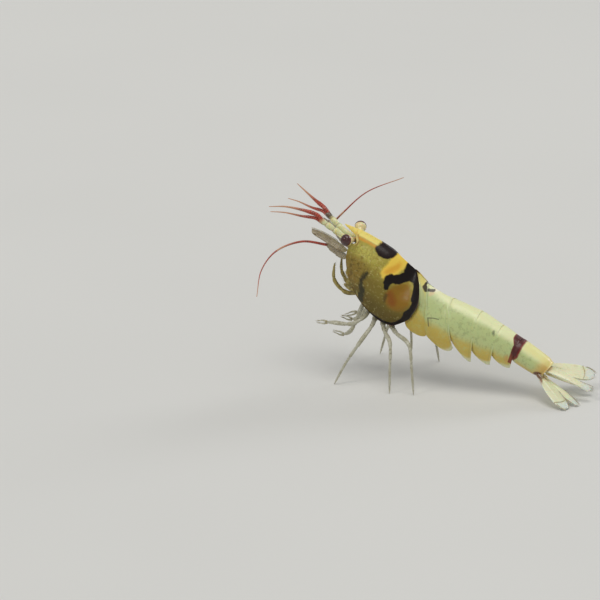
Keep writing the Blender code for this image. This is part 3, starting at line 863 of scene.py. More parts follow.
def abdomen_look():
    """Pale greenish shell with golden side plates. u counts tergites, v is the depth in millimetres."""
    look = Look("abdomen shell", (198, 206, 142), 0.36, 0.15, soft(0.15, 0.8))
    _, y, z = look.measure()
    u, v = look.uv("trunk")
    back, under = look.uv("rim")
    cloud = look.noise(0.8, 3.0)
    grain = look.noise(4.5, 3.0, 0.62)
    ragged = look.noise(3.0, 3.0, 0.65)
    wobble = look.wobble = (ragged - 0.5) * 0.3
    wide = (cloud - 0.5) * 0.8

    # Cream back, partly its own pale tone and partly a painted highlight along the crest; greenish flank,
    # golden side plates with clear tips
    look.lay((v + wide * 0.4).ramp(0.6, 0.1), (246, 242, 186))
    look.lay(look.noise(2.1, 4.0, 0.7).ramp(0.5, 0.64) * v.ramp(0.2, 0.6), (160, 168, 112), 0.55)
    taper = u.ramp(2.0, 5.5, 0.0, 0.9)
    gold = (v + taper + wide * 0.5).ramp(2.0, 2.75)
    look.lay(gold * u.ramp(5.2, 4.9) * ragged.ramp(0.3, 0.55, 0.55, 0.95), (208, 184, 84))
    deep = (v + taper + wide * 0.4).ramp(2.6, 3.4) * cloud.ramp(0.35, 0.6)
    look.lay(deep * u.ramp(5.2, 4.9), (206, 174, 66), 0.6)
    # Fine greyish freckles and streaks
    look.lay(look.cells(5.5).ramp(0.16, 0.06) * look.noise(1.3).ramp(0.5, 0.62), (112, 122, 92), 0.5)
    look.lay(look.noise(6.5, 2.0, 0.7).ramp(0.6, 0.75) * v.ramp(0.5, 1.2), (144, 152, 102), 0.42)
    # First tergite: a paler coat over its upper side, painted light that lifts the shade there, then a bright
    # yellow back
    look.lay(u.ramp(1.02, 0.94) * (v + wobble).ramp(2.2, 1.4), (226, 224, 156), 0.6)
    look.lay(u.ramp(1.0, 0.86) * (v + wobble).ramp(1.1, 0.5), (250, 226, 128), 0.95)
    # Dark hook over the first joint, with a cream patch behind it that is a painted highlight, and a rosy
    # patch, seen from the side
    behind, below = y - NAPE.y, z - NAPE.z
    hook = line(behind, below, ((1.12, -0.85), (0.92, -1.22), (1.14, -1.56), (1.72, -1.6)), 0.11, 0.09)
    look.patch(oval(behind, below, (1.95, -1.36), (0.42, 0.36)), 0.5, (0.1, -0.12), (254, 246, 214), 0.9)
    look.patch(oval(behind, below, (1.6, -1.74), (0.24, 0.2)), 0.4, (0.08, -0.12), (236, 190, 140), 0.6)
    look.patch(hook, 0.3, (0.03, -0.03), (40, 26, 16), 0.95)
    # Painted shade line where the second side plate laps over the first, and a grey spot further back
    notch = line(u, v * 0.45, ((1.12, 1.22), (1.09, 0.92), (1.32, 0.83), (1.56, 0.77)), 0.024, 0.014)
    look.patch(notch, 0.05, (0.012, -0.012), (70, 76, 48), 0.75)
    look.patch(oval(u, v, (3.88, 0.46), (0.07, 0.16)), 0.15, (0.03, -0.04), (104, 112, 84), 0.7)
    # Tan side of the fifth tergite, in front of the band
    look.patch(oval(u, v * 0.4, (4.8, 0.68), (0.14, 0.16)), 0.2, (0.05, -0.1), (206, 160, 84), 0.75)
    # Last tergite: orange at its end, with a brown spot over the fan's root
    look.lay((u + wide * 0.05).ramp(5.6, 5.92), (228, 172, 82), 0.8)
    look.lay(u.ramp(5.1, 5.2) * (v + wide * 0.3).ramp(1.15, 1.6), (222, 188, 96), 0.75)
    # A paler cream top on the last tergite, partly its own tone and partly a painted highlight
    look.lay(u.ramp(5.15, 5.25) * (v + wide * 0.2).ramp(0.4, 0.1), (248, 232, 150), 0.7)
    look.patch(oval(u, v * 0.4, (5.88, 0.58), (0.12, 0.18)), 0.12, (0.02, -0.03), (84, 26, 16), 0.9)
    # Borders: a fine darker line before the clear rim, and whitish tips
    look.lay(abs(back - 0.17).ramp(0.09, 0.0) * v.ramp(0.3, 1.0), (138, 142, 92), 0.25)
    look.lay(back.ramp(0.1, 0.0), (226, 228, 190), 0.3)
    tips = (under + back * 0.4 + wobble * 0.5).ramp(0.7, 0.25) * v.ramp(1.6, 2.4) * u.ramp(1.0, 1.4)
    look.lay(tips, (226, 228, 196), 0.75)
    # Dark red band over the fifth joint, black in its middle and brown at its lower end
    front = v.ramp(0.0, 0.45, 4.74, 4.9)
    rear = v.ramp(0.9, 1.7, 5.17, 5.06)
    band = (front - u).most(u - rear, v * 0.4 - 0.76)
    core = (front - u + 0.05).most(u - rear + 0.04, v * 0.4 - 0.68)
    inside = (band + wobble * 0.1).ramp(0.025, -0.025)
    look.lay(inside, (122, 20, 8))
    look.patch(core, 0.12, (0.02, -0.03), (46, 10, 8), 0.7)
    look.lay(inside * (v + wobble).ramp(0.9, 1.5), (140, 72, 34), 0.7)
    look.relief(grain * 0.5 + look.noise(20.0, 2.0) * 0.5, 0.018, 0.6)
    look.drive("Roughness", grain.ramp(0.3, 0.7, 0.3, 0.44))
    return look.finish()


def flesh_look():
    """The skin inside the plates, olive and soft."""
    look = Look("inner skin", (150, 142, 84), 0.45, 0.2, soft(0.3, 1.0))
    look.measure()
    look.mottle((2.2, 4.0, 0.65), (0.45, 0.65), (104, 92, 46), 0.7)
    look.mottle((5.0, 3.0), (0.55, 0.7), (190, 182, 128), 0.5)
    look.relief(look.noise(9.0, 3.0), 0.03, 0.7)
    return look.finish()


def limb_look(name, base, shade, alpha=1.0):
    """Clear limb shell with a little grey and amber at the joints."""
    look = Look(name, base, 0.3, 0.3, clear(0.3) + (("Alpha", alpha),))
    look.measure()
    _, along = look.uv("shape")
    look.mottle((2.4, 3.0), (0.42, 0.62), shade, 0.6)
    look.mottle((8.0, 2.0, 0.7), (0.58, 0.7), (132, 112, 70), 0.6)
    look.lay(along.ramp(0.18, 0.0), (176, 156, 92), 0.7)
    look.relief(look.noise(16.0), 0.012, 0.6)
    look.drive("Roughness", look.noise(6.0).ramp(0.3, 0.7, 0.25, 0.4))
    return look.finish()


def mouth_look():
    """Jaws and leaf-like mouth limbs, yellow-brown, mottled and clear."""
    look = Look("mouth limb shell", (176, 158, 88), 0.35, 0.3, clear(0.15))
    look.measure()
    look.mottle((1.8, 4.0, 0.7), (0.46, 0.6), (122, 104, 46), 0.75)
    look.mottle((4.2, 3.0, 0.6), (0.56, 0.68), (206, 192, 130), 0.8)
    look.lay(look.cells(3.6).ramp(0.2, 0.08), (74, 66, 34), 0.5)
    look.relief(look.noise(9.0, 3.0), 0.02, 0.7)
    return look.finish()


def peduncle_look(dark_tip):
    """The stalk of a first feeler: cream green with yellow edges and amber joints."""
    look = Look("feeler stalk shell", (224, 226, 176), 0.32, 0.35, soft(0.15, 0.5))
    look.measure()
    around, along = look.uv("shape")
    # Greener on the stalk's lower side, partly its own colour and partly painted shade
    look.lay((around + look.noise(2.0) * 0.4).ramp(0.5, 0.9), (166, 188, 132), 0.8)
    look.mottle((3.4, 3.0), (0.5, 0.66), (232, 208, 110), 0.5)
    joints = abs(along - 0.56).least(abs(along - 0.8)).ramp(0.025, 0.008)
    look.lay(joints, (150, 124, 66), 0.5)
    tip, start = ((64, 24, 14), 0.76) if dark_tip else ((168, 84, 40), 0.86)
    look.lay((along + look.noise(3.0) * 0.1).ramp(start + 0.05, start + 0.16), tip, 0.9)
    look.relief(look.noise(14.0), 0.012, 0.6)
    return look.finish()


def whip_look(name, red_until):
    """Ringed whips, vivid red brown at the root and a clear pinkish tan at the end."""
    look = Look(name, (172, 52, 32), 0.36, 0.3)
    look.measure()
    _, along = look.uv("shape")
    look.mottle((3.0,), (0.5, 0.66), (108, 30, 22), 0.7)
    look.lay(along.ramp(red_until - 0.2, red_until + 0.25), (206, 158, 122), 0.85)
    rings = (along * 150.0).math("SINE")
    look.lay(rings.ramp(0.2, 0.9), (226, 184, 146), 0.18)
    look.relief(rings, 0.008, 0.4)
    return look.finish()


def cornea_look():
    """A dark maroon facetted eye."""
    look = Look("cornea", (66, 14, 10), 0.2, 0.6)
    look.measure()
    _, along = look.uv("shape")
    look.mottle((3.0,), (0.45, 0.65), (16, 6, 6), 0.6)
    look.lay(along.ramp(0.72, 1.0), (112, 26, 16), 0.85)
    look.relief(look.cells(14.0, "DISTANCE_TO_EDGE").ramp(0.0, 0.12), 0.008, 0.5)
    return look.finish()


def eyestalk_look():
    """Cream stalk, orange brown at its root and dark red against the cornea."""
    look = Look("eyestalk skin", (240, 226, 168), 0.3, 0.4, soft(0.25, 0.5))
    look.measure()
    _, along = look.uv("shape")
    look.mottle((3.2, 3.0), (0.48, 0.66), (224, 186, 138), 0.45)
    look.lay(along.ramp(0.42, 0.1), (170, 112, 48), 0.8)
    look.lay((along + look.noise(4.0) * 0.12).ramp(0.97, 1.05), (120, 34, 20))
    look.relief(look.noise(12.0), 0.012, 0.6)
    return look.finish()


def fan_look():
    """Cream fan leaves with bluish white ends, an orange root and a brown spot at the left root."""
    look = Look("fan leaf shell", (236, 234, 196), 0.34, 0.35, soft(0.2, 0.6))
    x, y, z = look.measure()
    across, along = look.uv("shape")
    look.lay((along + look.noise(2.0) * 0.2).ramp(0.32, 0.08), (226, 196, 116), 0.75)
    look.lay((along + look.noise(2.4) * 0.3).ramp(0.86, 1.06), (222, 230, 226), 0.85)
    spot = line(y - NAPE.y, z - NAPE.z, ((10.95, -7.2), (11.6, -8.45)), 0.32, 0.18)
    spotted = (spot + look.noise(3.0) * 0.12).ramp(0.2, 0.0) * (x - NAPE.x).ramp(0.25, 0.5)
    look.lay(spotted, (96, 34, 20), 0.85)
    look.mottle((3.2, 4.0, 0.7), (0.52, 0.66), (206, 204, 150), 0.35)
    rays = (across * 46.0).math("SINE").ramp(0.3, 1.0) * along.ramp(0.45, 0.8)
    look.lay(rays, (196, 200, 168), 0.22)
    look.lay(look.cells(4.0).ramp(0.13, 0.05) * look.noise(1.1).ramp(0.5, 0.6), (126, 120, 82), 0.7)
    look.lay(abs(across - 0.5).ramp(0.43, 0.5), (246, 246, 230), 0.5)
    look.relief(rays * 0.6 + look.noise(16.0) * 0.4, 0.015, 0.7)
    return look.finish()


def mottled_look(name, base, roughness, noise, edge, colour, share, constants=()):
    """A plain material with one mottled coat."""
    look = Look(name, base, roughness, 0.0, constants)
    look.measure()
    look.mottle(noise, edge, colour, share)
    return look.finish()


# Every look with the slot of its pieces.
LOOKS = {
    "carapace": (carapace_look(), "banded_shell"),
    "abdomen": (abdomen_look(), "pale_shell"),
    "flesh": (flesh_look(), "clear_limbs"),
    "limb": (limb_look("clear limb shell", (212, 210, 190), (182, 176, 144)), "clear_limbs"),
    "scale": (limb_look("feeler scale shell", (160, 144, 104), (118, 94, 60), 0.7), "clear_limbs"),
    "mouth": (mouth_look(), "clear_limbs"),
    "peduncle_left": (peduncle_look(False), "pale_shell"),
    "peduncle_right": (peduncle_look(True), "pale_shell"),
    "whip": (whip_look("ringed whip shell", 0.45), "red_whips"),
    "long_whip": (whip_look("long ringed whip shell", 0.75), "red_whips"),
    "cornea": (cornea_look(), "dark_cornea"),
    "eyestalk": (eyestalk_look(), "clear_limbs"),
    "fan": (fan_look(), "cream_fan"),
    "seam": (mottled_look("fan suture", (170, 152, 98), 0.4,
                          (6.0,), (0.45, 0.6), (206, 196, 146), 0.8), "cream_fan"),
    "bristles": (mottled_look("bristles", (232, 228, 208), 0.35,
                              (2.5,), (0.4, 0.65), (196, 176, 128), 0.7, (("Alpha", 0.6),)), None),
}


# ---------------------------------------------------------------- trunk


def carapace_line(angle, shares):
    """Points of one line over the carapace from front to rear, at an angle round from the ridge."""
    front, rear = CARAPACE_FRONT, 0.0
    for _ in range(12):
        front = front_limit(flank(front, angle)[1])
        rear = rear_limit(*reversed(flank(rear, angle)))
    reach = front + 0.2 * bump(angle, 0.0, 0.2)
    rear -= REAR_OVERHANG
    points = []
    for share in shares:
        ahead = blend(reach, rear, share)
        side, up = flank(min(ahead, front), angle)
        drawn_out = max(ahead - front, 0.0)
        points.append(head(side * (1.0 - 0.3 * drawn_out), ahead, up - 0.12 * drawn_out))
    return points


def furrows(ahead, up, side):
    """Height of the carapace's relief: shallow grooves over the stomach and the gills."""
    cervical = -0.05 * bump(ahead - 2.5 + 0.25 * (up + 1.0), 0.0, 0.14) * bump(up, -1.3, 0.7)
    gill = -0.035 * bump(up + 1.75 + 0.12 * ahead, 0.0, 0.13) * smooth_step((2.4 - ahead) / 1.2)
    gill *= smooth_step((ahead + 1.0) / 0.8)
    orbit = 0.035 * bump(up, -0.62, 0.1) * smooth_step((ahead - 4.2) / 1.0)
    keel = 0.03 * bump(side, 0.0, 0.09) * smooth_step((ahead - 0.6) / 1.5)
    return cervical + gill + orbit + keel


def carapace():
    """The shield over head and chest: arched over the back, open below, with a raised border."""
    rows, half = 130, 96
    shares = eased(rows, 0.04)
    shares = [(share - shares[0]) / (shares[-1] - shares[0]) for share in shares]
    angles = [WRAP * signed_power(step / half, 1.15) for step in range(-half, half + 1)]
    lines = [carapace_line(angle, shares) for angle in angles]
    grid = np.array([[tuple(line_points[row]) for line_points in lines] for row in range(rows)])
    behind, before, under = edge_distances(grid)
    outward, lift = np.zeros(grid.shape), np.zeros(grid.shape[:2])
    for spot in np.ndindex(lift.shape):
        place = Vector(grid[spot]) - NAPE
        ahead, up = place.dot(FORWARD), place.dot(UPWARD)
        height = max(up - back_line(max(ahead, 0.0)) + CORE_DEPTH, 0.0)
        outward[spot] = (SIDEWAYS * place.x + UPWARD * height).normalized()
        lift[spot] = furrows(ahead, up, place.x)
    # A raised border with a shallow groove beside it, and a flare along the rear edge
    edge = np.minimum(np.minimum(behind, under), before)
    lift += 0.03 * np.exp(-((edge / 0.07) ** 2)) - 0.02 * np.exp(-(((edge - 0.2) / 0.09) ** 2))
    lift += LIFT * np.clip(1.0 - behind / 0.7, 0.0, 1.0) ** 2
    grid = grid + outward * lift[..., None]
    maps = {"rim": np.stack([behind, under], axis=2)}
    shell("carapace_shell", grid, PLATE, "carapace", ("carapace",), maps, outward)


def rostrum():
    """The beak over the eyes: a roof-shaped blade with forward teeth along its crest and a few below."""
    rings = []
    for share in even(201):
        ahead = blend(ROSTRUM_ROOT, ROSTRUM_TIP - 0.03, share)
        left = min((ROSTRUM_TIP - ahead) / 1.55, 1.0)
        fade = smooth_step((ahead - 4.3) / 1.1)
        tooth = 0.065 * ((share * (ROSTRUM_TEETH + 0.5)) % 1.0) ** 1.6
        tooth *= smooth_step(share * 5.0) * smooth_step((0.98 - share) * 9.0)
        top = back_line(ahead) + 0.05 - 0.02 * max(ahead - 4.6, 0.0) ** 1.5 + tooth
        notch = 0.04 * ((ahead * 3.6) % 1.0) ** 1.5 if 6.1 < ahead < 6.95 else 0.0
        bottom = blend(back_line(ahead) - 0.25, -0.12 - 0.37 * left, fade) - notch
        bottom = min(bottom, top - 0.04)
        middle = blend(bottom, top, 0.36)
        wide = blend(0.05, 0.02 + 0.34 * left**1.15, fade)
        ring = []
        for angle in turns(24):
            rise = math.sin(angle)
            up = middle + (top - middle if rise > 0 else middle - bottom) * rise
            ring.append(head(wide * signed_power(math.cos(angle), 1.5), ahead, up))
        rings.append(ring)
    # Its spots lie far from any border, so that the carapace's bands leave it out
    far_spots = [(9.0, 9.0)] * len(rings)
    closed_skin("rostrum_shell", rings, "carapace", spots=far_spots, title="rim")


def tergite_point(index, share, side, depth):
    """A point on a tergite. Past its ends it follows the neighbour that it laps."""
    length = TERGITES[index][0]
    here, after = joint_point(index, side, depth), joint_point(index + 1, side, depth)
    if share < 0.0:
        before = FORWARD if index == 0 else joint_point(index - 1, side, depth) - here
        return here - before.normalized() * share * length
    if share > 1.0 and index < LAST:
        beyond = joint_point(index + 2, side, depth) - after
        return after + beyond.normalized() * (share - 1.0) * length
    return here.lerp(after, share)


def tergite_profile(index, share, angle):
    """Side and depth on a tergite's section, at an angle round from the ridge."""
    front, rear, swell = TERGITES[index][5:]
    inside, wrap = held(share), wrap_of(index)
    depth = blend(front, rear, inside**0.9) + swell * math.sin(math.pi * inside**1.3) ** 0.55
    rise = (1.0 - math.cos(angle * wrap)) / (1.0 - math.cos(wrap))
    side = between_joints(index, HALF_WIDTH, share) * ridged(angle * wrap, ridge_at(index, inside))
    return side, depth * rise


def plate_lift(index, share, depth, length):
    """How far a plate stands off the trunk: tucked in front, flared behind, by side and depth."""
    lapping = smooth_step((depth - 1.2) / 0.8)
    front_lift, rear_lift, front_reach = -0.055, 0.5 * LIFT, 0.35
    if index == 0:
        front_lift, rear_lift, front_reach = -0.12, blend(0.5 * LIFT, -0.05, lapping), 0.5
    elif index == 1:
        front_lift = blend(-0.055, 0.05, lapping)
    elif index == LAST:
        rear_lift = -0.13
    near_front = smooth_step(1.0 - share * length / front_reach)
    near_rear = smooth_step(1.0 - (1.0 - share) * length / 0.6)
    swell = 0.03 * math.sin(math.pi * held(share))
    # The back stands up a little at the first joint
    hump = HUMP * smooth_step((1.7 - depth) / 1.2)
    if index == 0:
        swell += hump * smooth_step(share)
    elif index == 1:
        swell += hump * smooth_step(1.0 - share * length / 1.8)
    return front_lift * near_front + rear_lift * near_rear + swell


def tergite(index):
    """One plate of the abdomen with the side plates that hang from it."""
    length = TERGITES[index][0]
    rows, half = (64 if index < LAST else 72), 60
    first, last = -OVERLAP / length, 1.0 + (OVERLAP * 0.6 / length if index < LAST else 0.0)
    grid, outward = np.zeros((2, rows, 2 * half + 1, 3))
    trunk = np.zeros((rows, 2 * half + 1, 2))
    for row, part in enumerate(eased(rows, 0.03)):
        share = blend(first, last, part)
        lean = math.radians(between_joints(index, LEAN, held(share)))
        for column in range(2 * half + 1):
            side, depth = tergite_profile(index, share, (column - half) / half)
            height = CORE_DEPTH * 0.5 - depth if index == LAST else max(CORE_DEPTH - depth, 0.0)
            grid[row, column] = tergite_point(index, share, side, depth)
            trunk[row, column] = (index + share, depth)
            away = Vector((side, height * math.sin(lean), height * math.cos(lean)))
            outward[row, column] = away.normalized()
    behind, _, under = edge_distances(grid)
    for spot in np.ndindex(behind.shape):
        lift = plate_lift(index, trunk[spot][0] - index, trunk[spot][1], length)
        lift += 0.02 * bump(min(behind[spot], under[spot]), 0.0, 0.06)
        grid[spot] += outward[spot] * lift
    maps = {"trunk": trunk, "rim": np.stack([behind, under], axis=2)}
    name = f"abdomen_{index + 1}"
    shell(f"{name}_shell", grid, RING_PLATE, "abdomen", (name,), maps, outward)


def skin_ring(full, width, wrap, sharpness, belly, fill):
    """A ring of skin inside a section of the shell, as sides and depths below the ridge.

    full, width, wrap and sharpness shape the section. belly is the ring's lowest depth, and fill
    the share of the section's width that it takes up.
    """
    ring = []
    for turn in turns(36):
        share = 0.5 - 0.5 * math.cos(turn)
        depth = blend(0.3, belly, share)
        close = (1.0 - (2.0 * share - 1.0) ** 8) ** 0.5
        opened = math.acos(max(1.0 - depth / full * (1.0 - math.cos(wrap)), math.cos(wrap)))
        ring.append((math.copysign(fill * width * ridged(opened, sharpness) * close, math.sin(turn)), depth))
    return ring


def inner_skin():
    """One skin for the flesh inside the plates, from the face to the last tergite."""
    rings = []
    for share in even(27):
        ahead = blend(5.5, 0.15, share)
        full = back_line(ahead) - belly_line(ahead)
        face = smooth_step((5.7 - ahead) / 1.3)
        width = carapace_half_width(ahead) * blend(0.85, 1.0, face)
        fill = blend(0.7, SKIN_SHARE, smooth_step((ahead - 0.2) / 2.0))
        ring = skin_ring(full, width, WRAP, carapace_ridge(ahead), blend(3.0, full - 0.5, face), fill)
        rings.append([head(side, ahead, back_line(ahead) - depth) for side, depth in ring])
    for index in range(len(TERGITES)):
        front, rear, swell = TERGITES[index][5:]
        for part in (0.2, 0.45, 0.7, 0.95):
            full, width = blend(front, rear, part) + swell, between_joints(index, HALF_WIDTH, part)
            belly = between_joints(index, BELLY, part) + 0.09 * math.sin(math.pi * part)
            fill = blend(0.7, SKIN_SHARE, smooth_step((index + part - 0.3) / 1.2))
            ring = skin_ring(full, width, wrap_of(index), ridge_at(index, part), belly, fill)
            ends = [(joint_point(index, *place), joint_point(index + 1, *place)) for place in ring]
            rings.append([front_end.lerp(rear_end, part) for front_end, rear_end in ends])
    closed_skin("inner_skin", rings, "flesh")


def chest():
    """The sternum between the legs, with a low boss at each hip."""
    rings = []
    for share in even(60):
        ahead = blend(3.25, -0.65, share)
        end = math.sin(math.pi * blend(0.06, 0.94, share)) ** 0.35
        boss = 0.07 * math.cos(2.0 * math.pi * (ahead - 0.14) / HIP_SPACING)
        top, bottom = belly_line(ahead) + 1.2, belly_line(ahead) + 0.16 - boss
        middle, half = (top + bottom) / 2, (top - bottom) / 2
        ring = []
        for angle in turns(28):
            across = signed_power(math.cos(angle), 0.7) * (0.88 + boss) * end
            ring.append(head(across, ahead, middle + signed_power(math.sin(angle), 0.8) * half * end))
        rings.append(ring)
    closed_skin("chest_skin", rings, "flesh", ("chest",))


# ---------------------------------------------------------------- head


def eye(sign, word):
    """An eyestalk that widens into the globe, and the cornea that caps it."""
    base, centre = sided(sign, (0.56, 5.72, -0.56), (1.53, 6.1, -0.4))
    reach = (centre - base).length
    along = (centre - base).normalized()
    across = along.orthogonal().normalized()
    other = along.cross(across)
    globe, cut, neck = 0.5, math.radians(80.0), math.radians(140.0)
    # Stations: how far along the axis, the radius there, and the share along the piece
    stalk, cornea = [], []
    for share in even(16):
        run = blend(-0.1, reach + globe * math.cos(neck), share)
        stalk.append((run, blend(0.2, globe * math.sin(neck), share**1.6), 0.5 * share))
    for share in even(17)[1:]:
        angle = blend(neck, cut, share)
        stalk.append((reach + globe * math.cos(angle), globe * math.sin(angle), 0.5 + 0.5 * share))
    for share in even(25):
        angle = blend(cut * 1.02, 0.02, share)
        bulge = globe * (1.03 + 0.02 * math.cos(angle))
        cornea.append((reach + bulge * math.cos(angle), bulge * math.sin(angle), 1.0 - share))
    spokes = [across * math.cos(angle) + other * math.sin(angle) for angle in turns(40)]
    pieces = (
        (f"eyestalk_{word}", "skin", stalk, "eyestalk"),
        (f"eye_{word}", "cornea", cornea, "cornea"),
    )
    for node, ending, stations, look in pieces:
        rings = [[base + along * run + spoke * radius for spoke in spokes] for run, radius, _ in stations]
        spots = [(0.5, share) for *_, share in stations]
        closed_skin(f"{node}_{ending}", rings, look, (node,), spots)


# Radii of the tubes by share of their length, with each joint flared at its end
ANTENNULE = (
    (0.0, 0.2), (0.12, 0.29), (0.35, 0.25), (0.5, 0.29), (0.545, 0.25), (0.56, 0.21), (0.68, 0.27),
    (0.76, 0.27), (0.785, 0.22), (0.8, 0.2), (0.9, 0.25), (0.97, 0.25), (1.0, 0.19),
)
ANTENNA_BASE = (
    (0.0, 0.2), (0.12, 0.29), (0.42, 0.3), (0.47, 0.23), (0.52, 0.24), (0.8, 0.25), (0.84, 0.19),
    (0.9, 0.19), (0.98, 0.15), (1.0, 0.12),
)
MAXILLIPED = (
    (0.0, 0.17), (0.3, 0.19), (0.36, 0.14), (0.42, 0.16), (0.62, 0.17), (0.67, 0.12),
    (0.73, 0.14), (0.9, 0.09), (1.0, 0.025),
)


def antennule_path(sign):
    """The stalk of a first feeler. The right one is turned further out."""
    splay = 0.06 if sign > 0 else -0.6
    tip = head(sign * 0.42 + splay, 9.1, -0.8)
    return [*sided(sign, (0.4, 5.84, -1.08), (0.42, 7.2, -0.92)), tip]


def antennule(sign, word):
    """Three joints, each flared at its end, with a pointed scale beside the first."""
    path = body_path(antennule_path(sign), 12, 0.04)
    build, tufts = Build(), Build()
    build.turned(path, ANTENNULE, 22)
    root, tip = [rolled(point) for point in sided(sign, (0.68, 5.9, -1.02), (0.82, 7.3, -0.92))]
    build.tube(lerped(root, tip, 15), [0.11 * (1.0 - share**1.6) + 0.008 for share in even(15)], 10)
    build.make(f"antennule_{word}_stalk", f"peduncle_{word}", (f"antennule_{word}",))
    ahead = (path[-1] - path[0]).normalized()
    around = ahead.orthogonal()
    for share in (0.53, 0.77, 0.97):
        place = path[spot_at(path, share)]
        tuft = turns(16)
        for number, angle in enumerate(tuft):
            out = (Matrix.Rotation(angle, 3, ahead) @ around).normalized()
            length = DICE.uniform(0.14, 0.26)
            bristle(tufts, place + out * 0.19, ahead + out * 0.5, length, spot=(share, number / len(tuft)))
    tufts.make_hair(f"antennule_{word}_bristles", "pale_shell")


def ringed_whip(node, path, root, tip, look, stout=0.0):
    """A whip whose radius swells at every joint. Its first part, up to stout, keeps the root's size."""
    path = resampled(path, 0.05)
    radii = []
    for index, share in enumerate(even(len(path))):
        size = blend(root, tip, max(0.0, (share - stout) / (1.0 - stout)) ** 0.6)
        radii.append(size * (1.0 + 0.05 * math.cos(math.pi * index)))
    build = Build()
    build.tube(path, radii, 9)
    build.make(f"{node}_rings", look, (node,))


def antennule_whips(sign, word):
    """The two whips of a first feeler. The outer one is thick and bristly near its root."""
    *_, knee, end = antennule_path(sign)
    axis = (end - knee).normalized()
    out = SIDEWAYS * sign
    for name, rise, fall, width, root in (("outer", 0.12, 0.2, 1.0, 0.18), ("inner", -0.12, 0.34, 0.2, 0.14)):
        start = end + UPWARD * rise - axis * 0.1
        droop = (axis - UPWARD * fall).normalized()
        shift = UPWARD * rise * 2.0
        points = [start, start + axis * 0.6 + shift * 0.3]
        for run, spread, sink in ((1.6, 0.2, 0.0), (3.0, 0.7, 0.15), (4.15, 1.4, 0.45)):
            points.append(end + shift + droop * run + out * width * spread - UPWARD * sink)
        path = [rolled(point) for point in spline(points, 12)]
        node = f"antennule_whip_{name}_{word}"
        ringed_whip(node, path, root, 0.03, "whip", 0.26)
        if name == "outer":
            whip_bristles(f"{node}_bristles", path, axis, out)


def whip_bristles(name, path, axis, out):
    """Two rows of bristles below the thick part of an outer whip."""
    tufts = Build()
    fine = resampled(path, 0.07)
    first, last = 4, 26
    for number, place in enumerate(fine[first:last]):
        for side in (-0.5, 0.5):
            down = (-UPWARD + out * side).normalized()
            spot = (0.3 + side * 0.2, number / len(fine))
            bristle(tufts, place, down + axis * 0.7, 0.3, bend=axis, spot=spot)
    tufts.make_hair(name, "red_whips")


def antenna_base(sign, word):
    """The short thick joints that carry a second feeler."""
    points = sided(sign, (0.98, 5.55, -2.2), (1.06, 6.5, -2.2), (1.1, 7.42, -2.1))
    build = Build()
    build.turned(body_path(points, 10, 0.035), ANTENNA_BASE, 20)
    build.make(f"antenna_base_{word}_joints", "scale", (f"antenna_base_{word}",))


def leaf_grid(base, tip, across, outline, rows, columns, cup=0.0, keel=0.0, arch=0.0):
    """A leaf from base to tip, facing up. outline gives its inner and outer reach by share of the length."""
    along = (tip - base).normalized()
    across = square_to(along, across)
    normal = upright(across.cross(along))
    grid = np.zeros((rows, columns, 3))
    spots = np.zeros((rows, columns, 2))
    for row, share in enumerate(eased(rows)):
        inner, outer = outline(share)
        for column, part in enumerate(even(columns)):
            bulge = cup * (2.0 * part - 1.0) ** 2 + keel * bump(part, 0.5, 0.05) * (1.0 - share)
            lift = normal * (arch * math.sin(math.pi * share) + bulge)
            grid[row, column] = base.lerp(tip, share) + across * blend(-inner, outer, part) + lift
            spots[row, column] = (part, share)
    return grid, spots


def outward_grid(grid, spots):
    """The grid with its columns turned round if its normals would point down."""
    if grid_normals(grid)[grid.shape[0] // 2, grid.shape[1] // 2][2] < 0.0:
        return grid[:, ::-1], spots[:, ::-1]
    return grid, spots


def antenna_scale(sign, word):
    """The leaf beside a second feeler: a straight outer edge ending in a spine, a fringe inside."""
    base, tip = [rolled(point) for point in sided(sign, (1.12, 5.75, -1.56), (1.32, 9.15, -1.5))]
    across = head_direction(sign, 0.0, -0.35)
    spine_at = 0.84

    def outline(share):
        swell = math.sin(math.pi * blend(0.12, 0.98, share)) ** 0.55
        past = max(share - spine_at, 0.0) / (1.0 - spine_at)
        outer = 0.34 * math.sqrt(max(1.0 - past**2, 0.0)) if past else blend(0.3, 0.34, share)
        return 0.5 * swell + 0.01, outer * smooth_step(share * 6.0 + 0.3) + 0.01

    grid, spots = outward_grid(*leaf_grid(base, tip, across, outline, 50, 26, cup=-0.06, keel=0.03))
    node = f"antenna_scale_{word}"
    shell(f"{node}_leaf", grid, 0.07, "scale", (node,), {"shape": spots})
    spine, fringe = Build(), Build()
    bristle(spine, base.lerp(tip, spine_at) + across * 0.31, tip - base, 0.34, 0.05)
    spine.make(f"{node}_spine", "scale")
    for part in even(64):
        share = blend(0.3, 0.99, part)
        root = base.lerp(tip, share) - across * (outline(share)[0] - 0.03)
        aim = (tip - base).normalized() * blend(0.7, 1.3, share) - across * 0.8 * (1.1 - share)
        bristle(fringe, root, aim, DICE.uniform(0.3, 0.42), 0.01, bend=tip - base, spot=(0.4, share))
    fringe.make_hair(f"{node}_fringe", "clear_limbs")


# The way of a second feeler past its base, by side, how far ahead of the nape and height
ANTENNA_ROUTES = {
    1: ((2.2, 9.4, 11.9), (4.1, 10.9, 11.6), (6.2, 11.4, 10.6), (8.4, 10.9, 9.2)),
    -1: ((-1.95, 8.3, 11.9), (-2.65, 7.5, 13.0), (-3.4, 5.6, 14.8), (-4.1, 2.6, 16.2)),
}


def antenna(sign, word):
    """The long whip of a second feeler, in the two lengths of the solids."""
    route = [head(sign * 1.1, 7.42, -2.1)] + [ground(*point) for point in ANTENNA_ROUTES[sign]]
    path = [rolled(point) for point in spline(route, 16)]
    half = len(path) // 2
    middle = 0.075
    lengths = (("near", path[: half + 1], 0.13, middle), ("far", path[half:], middle, 0.03))
    for name, part, root, tip in lengths:
        ringed_whip(f"antenna_{name}_{word}", part, root, tip, "long_whip")


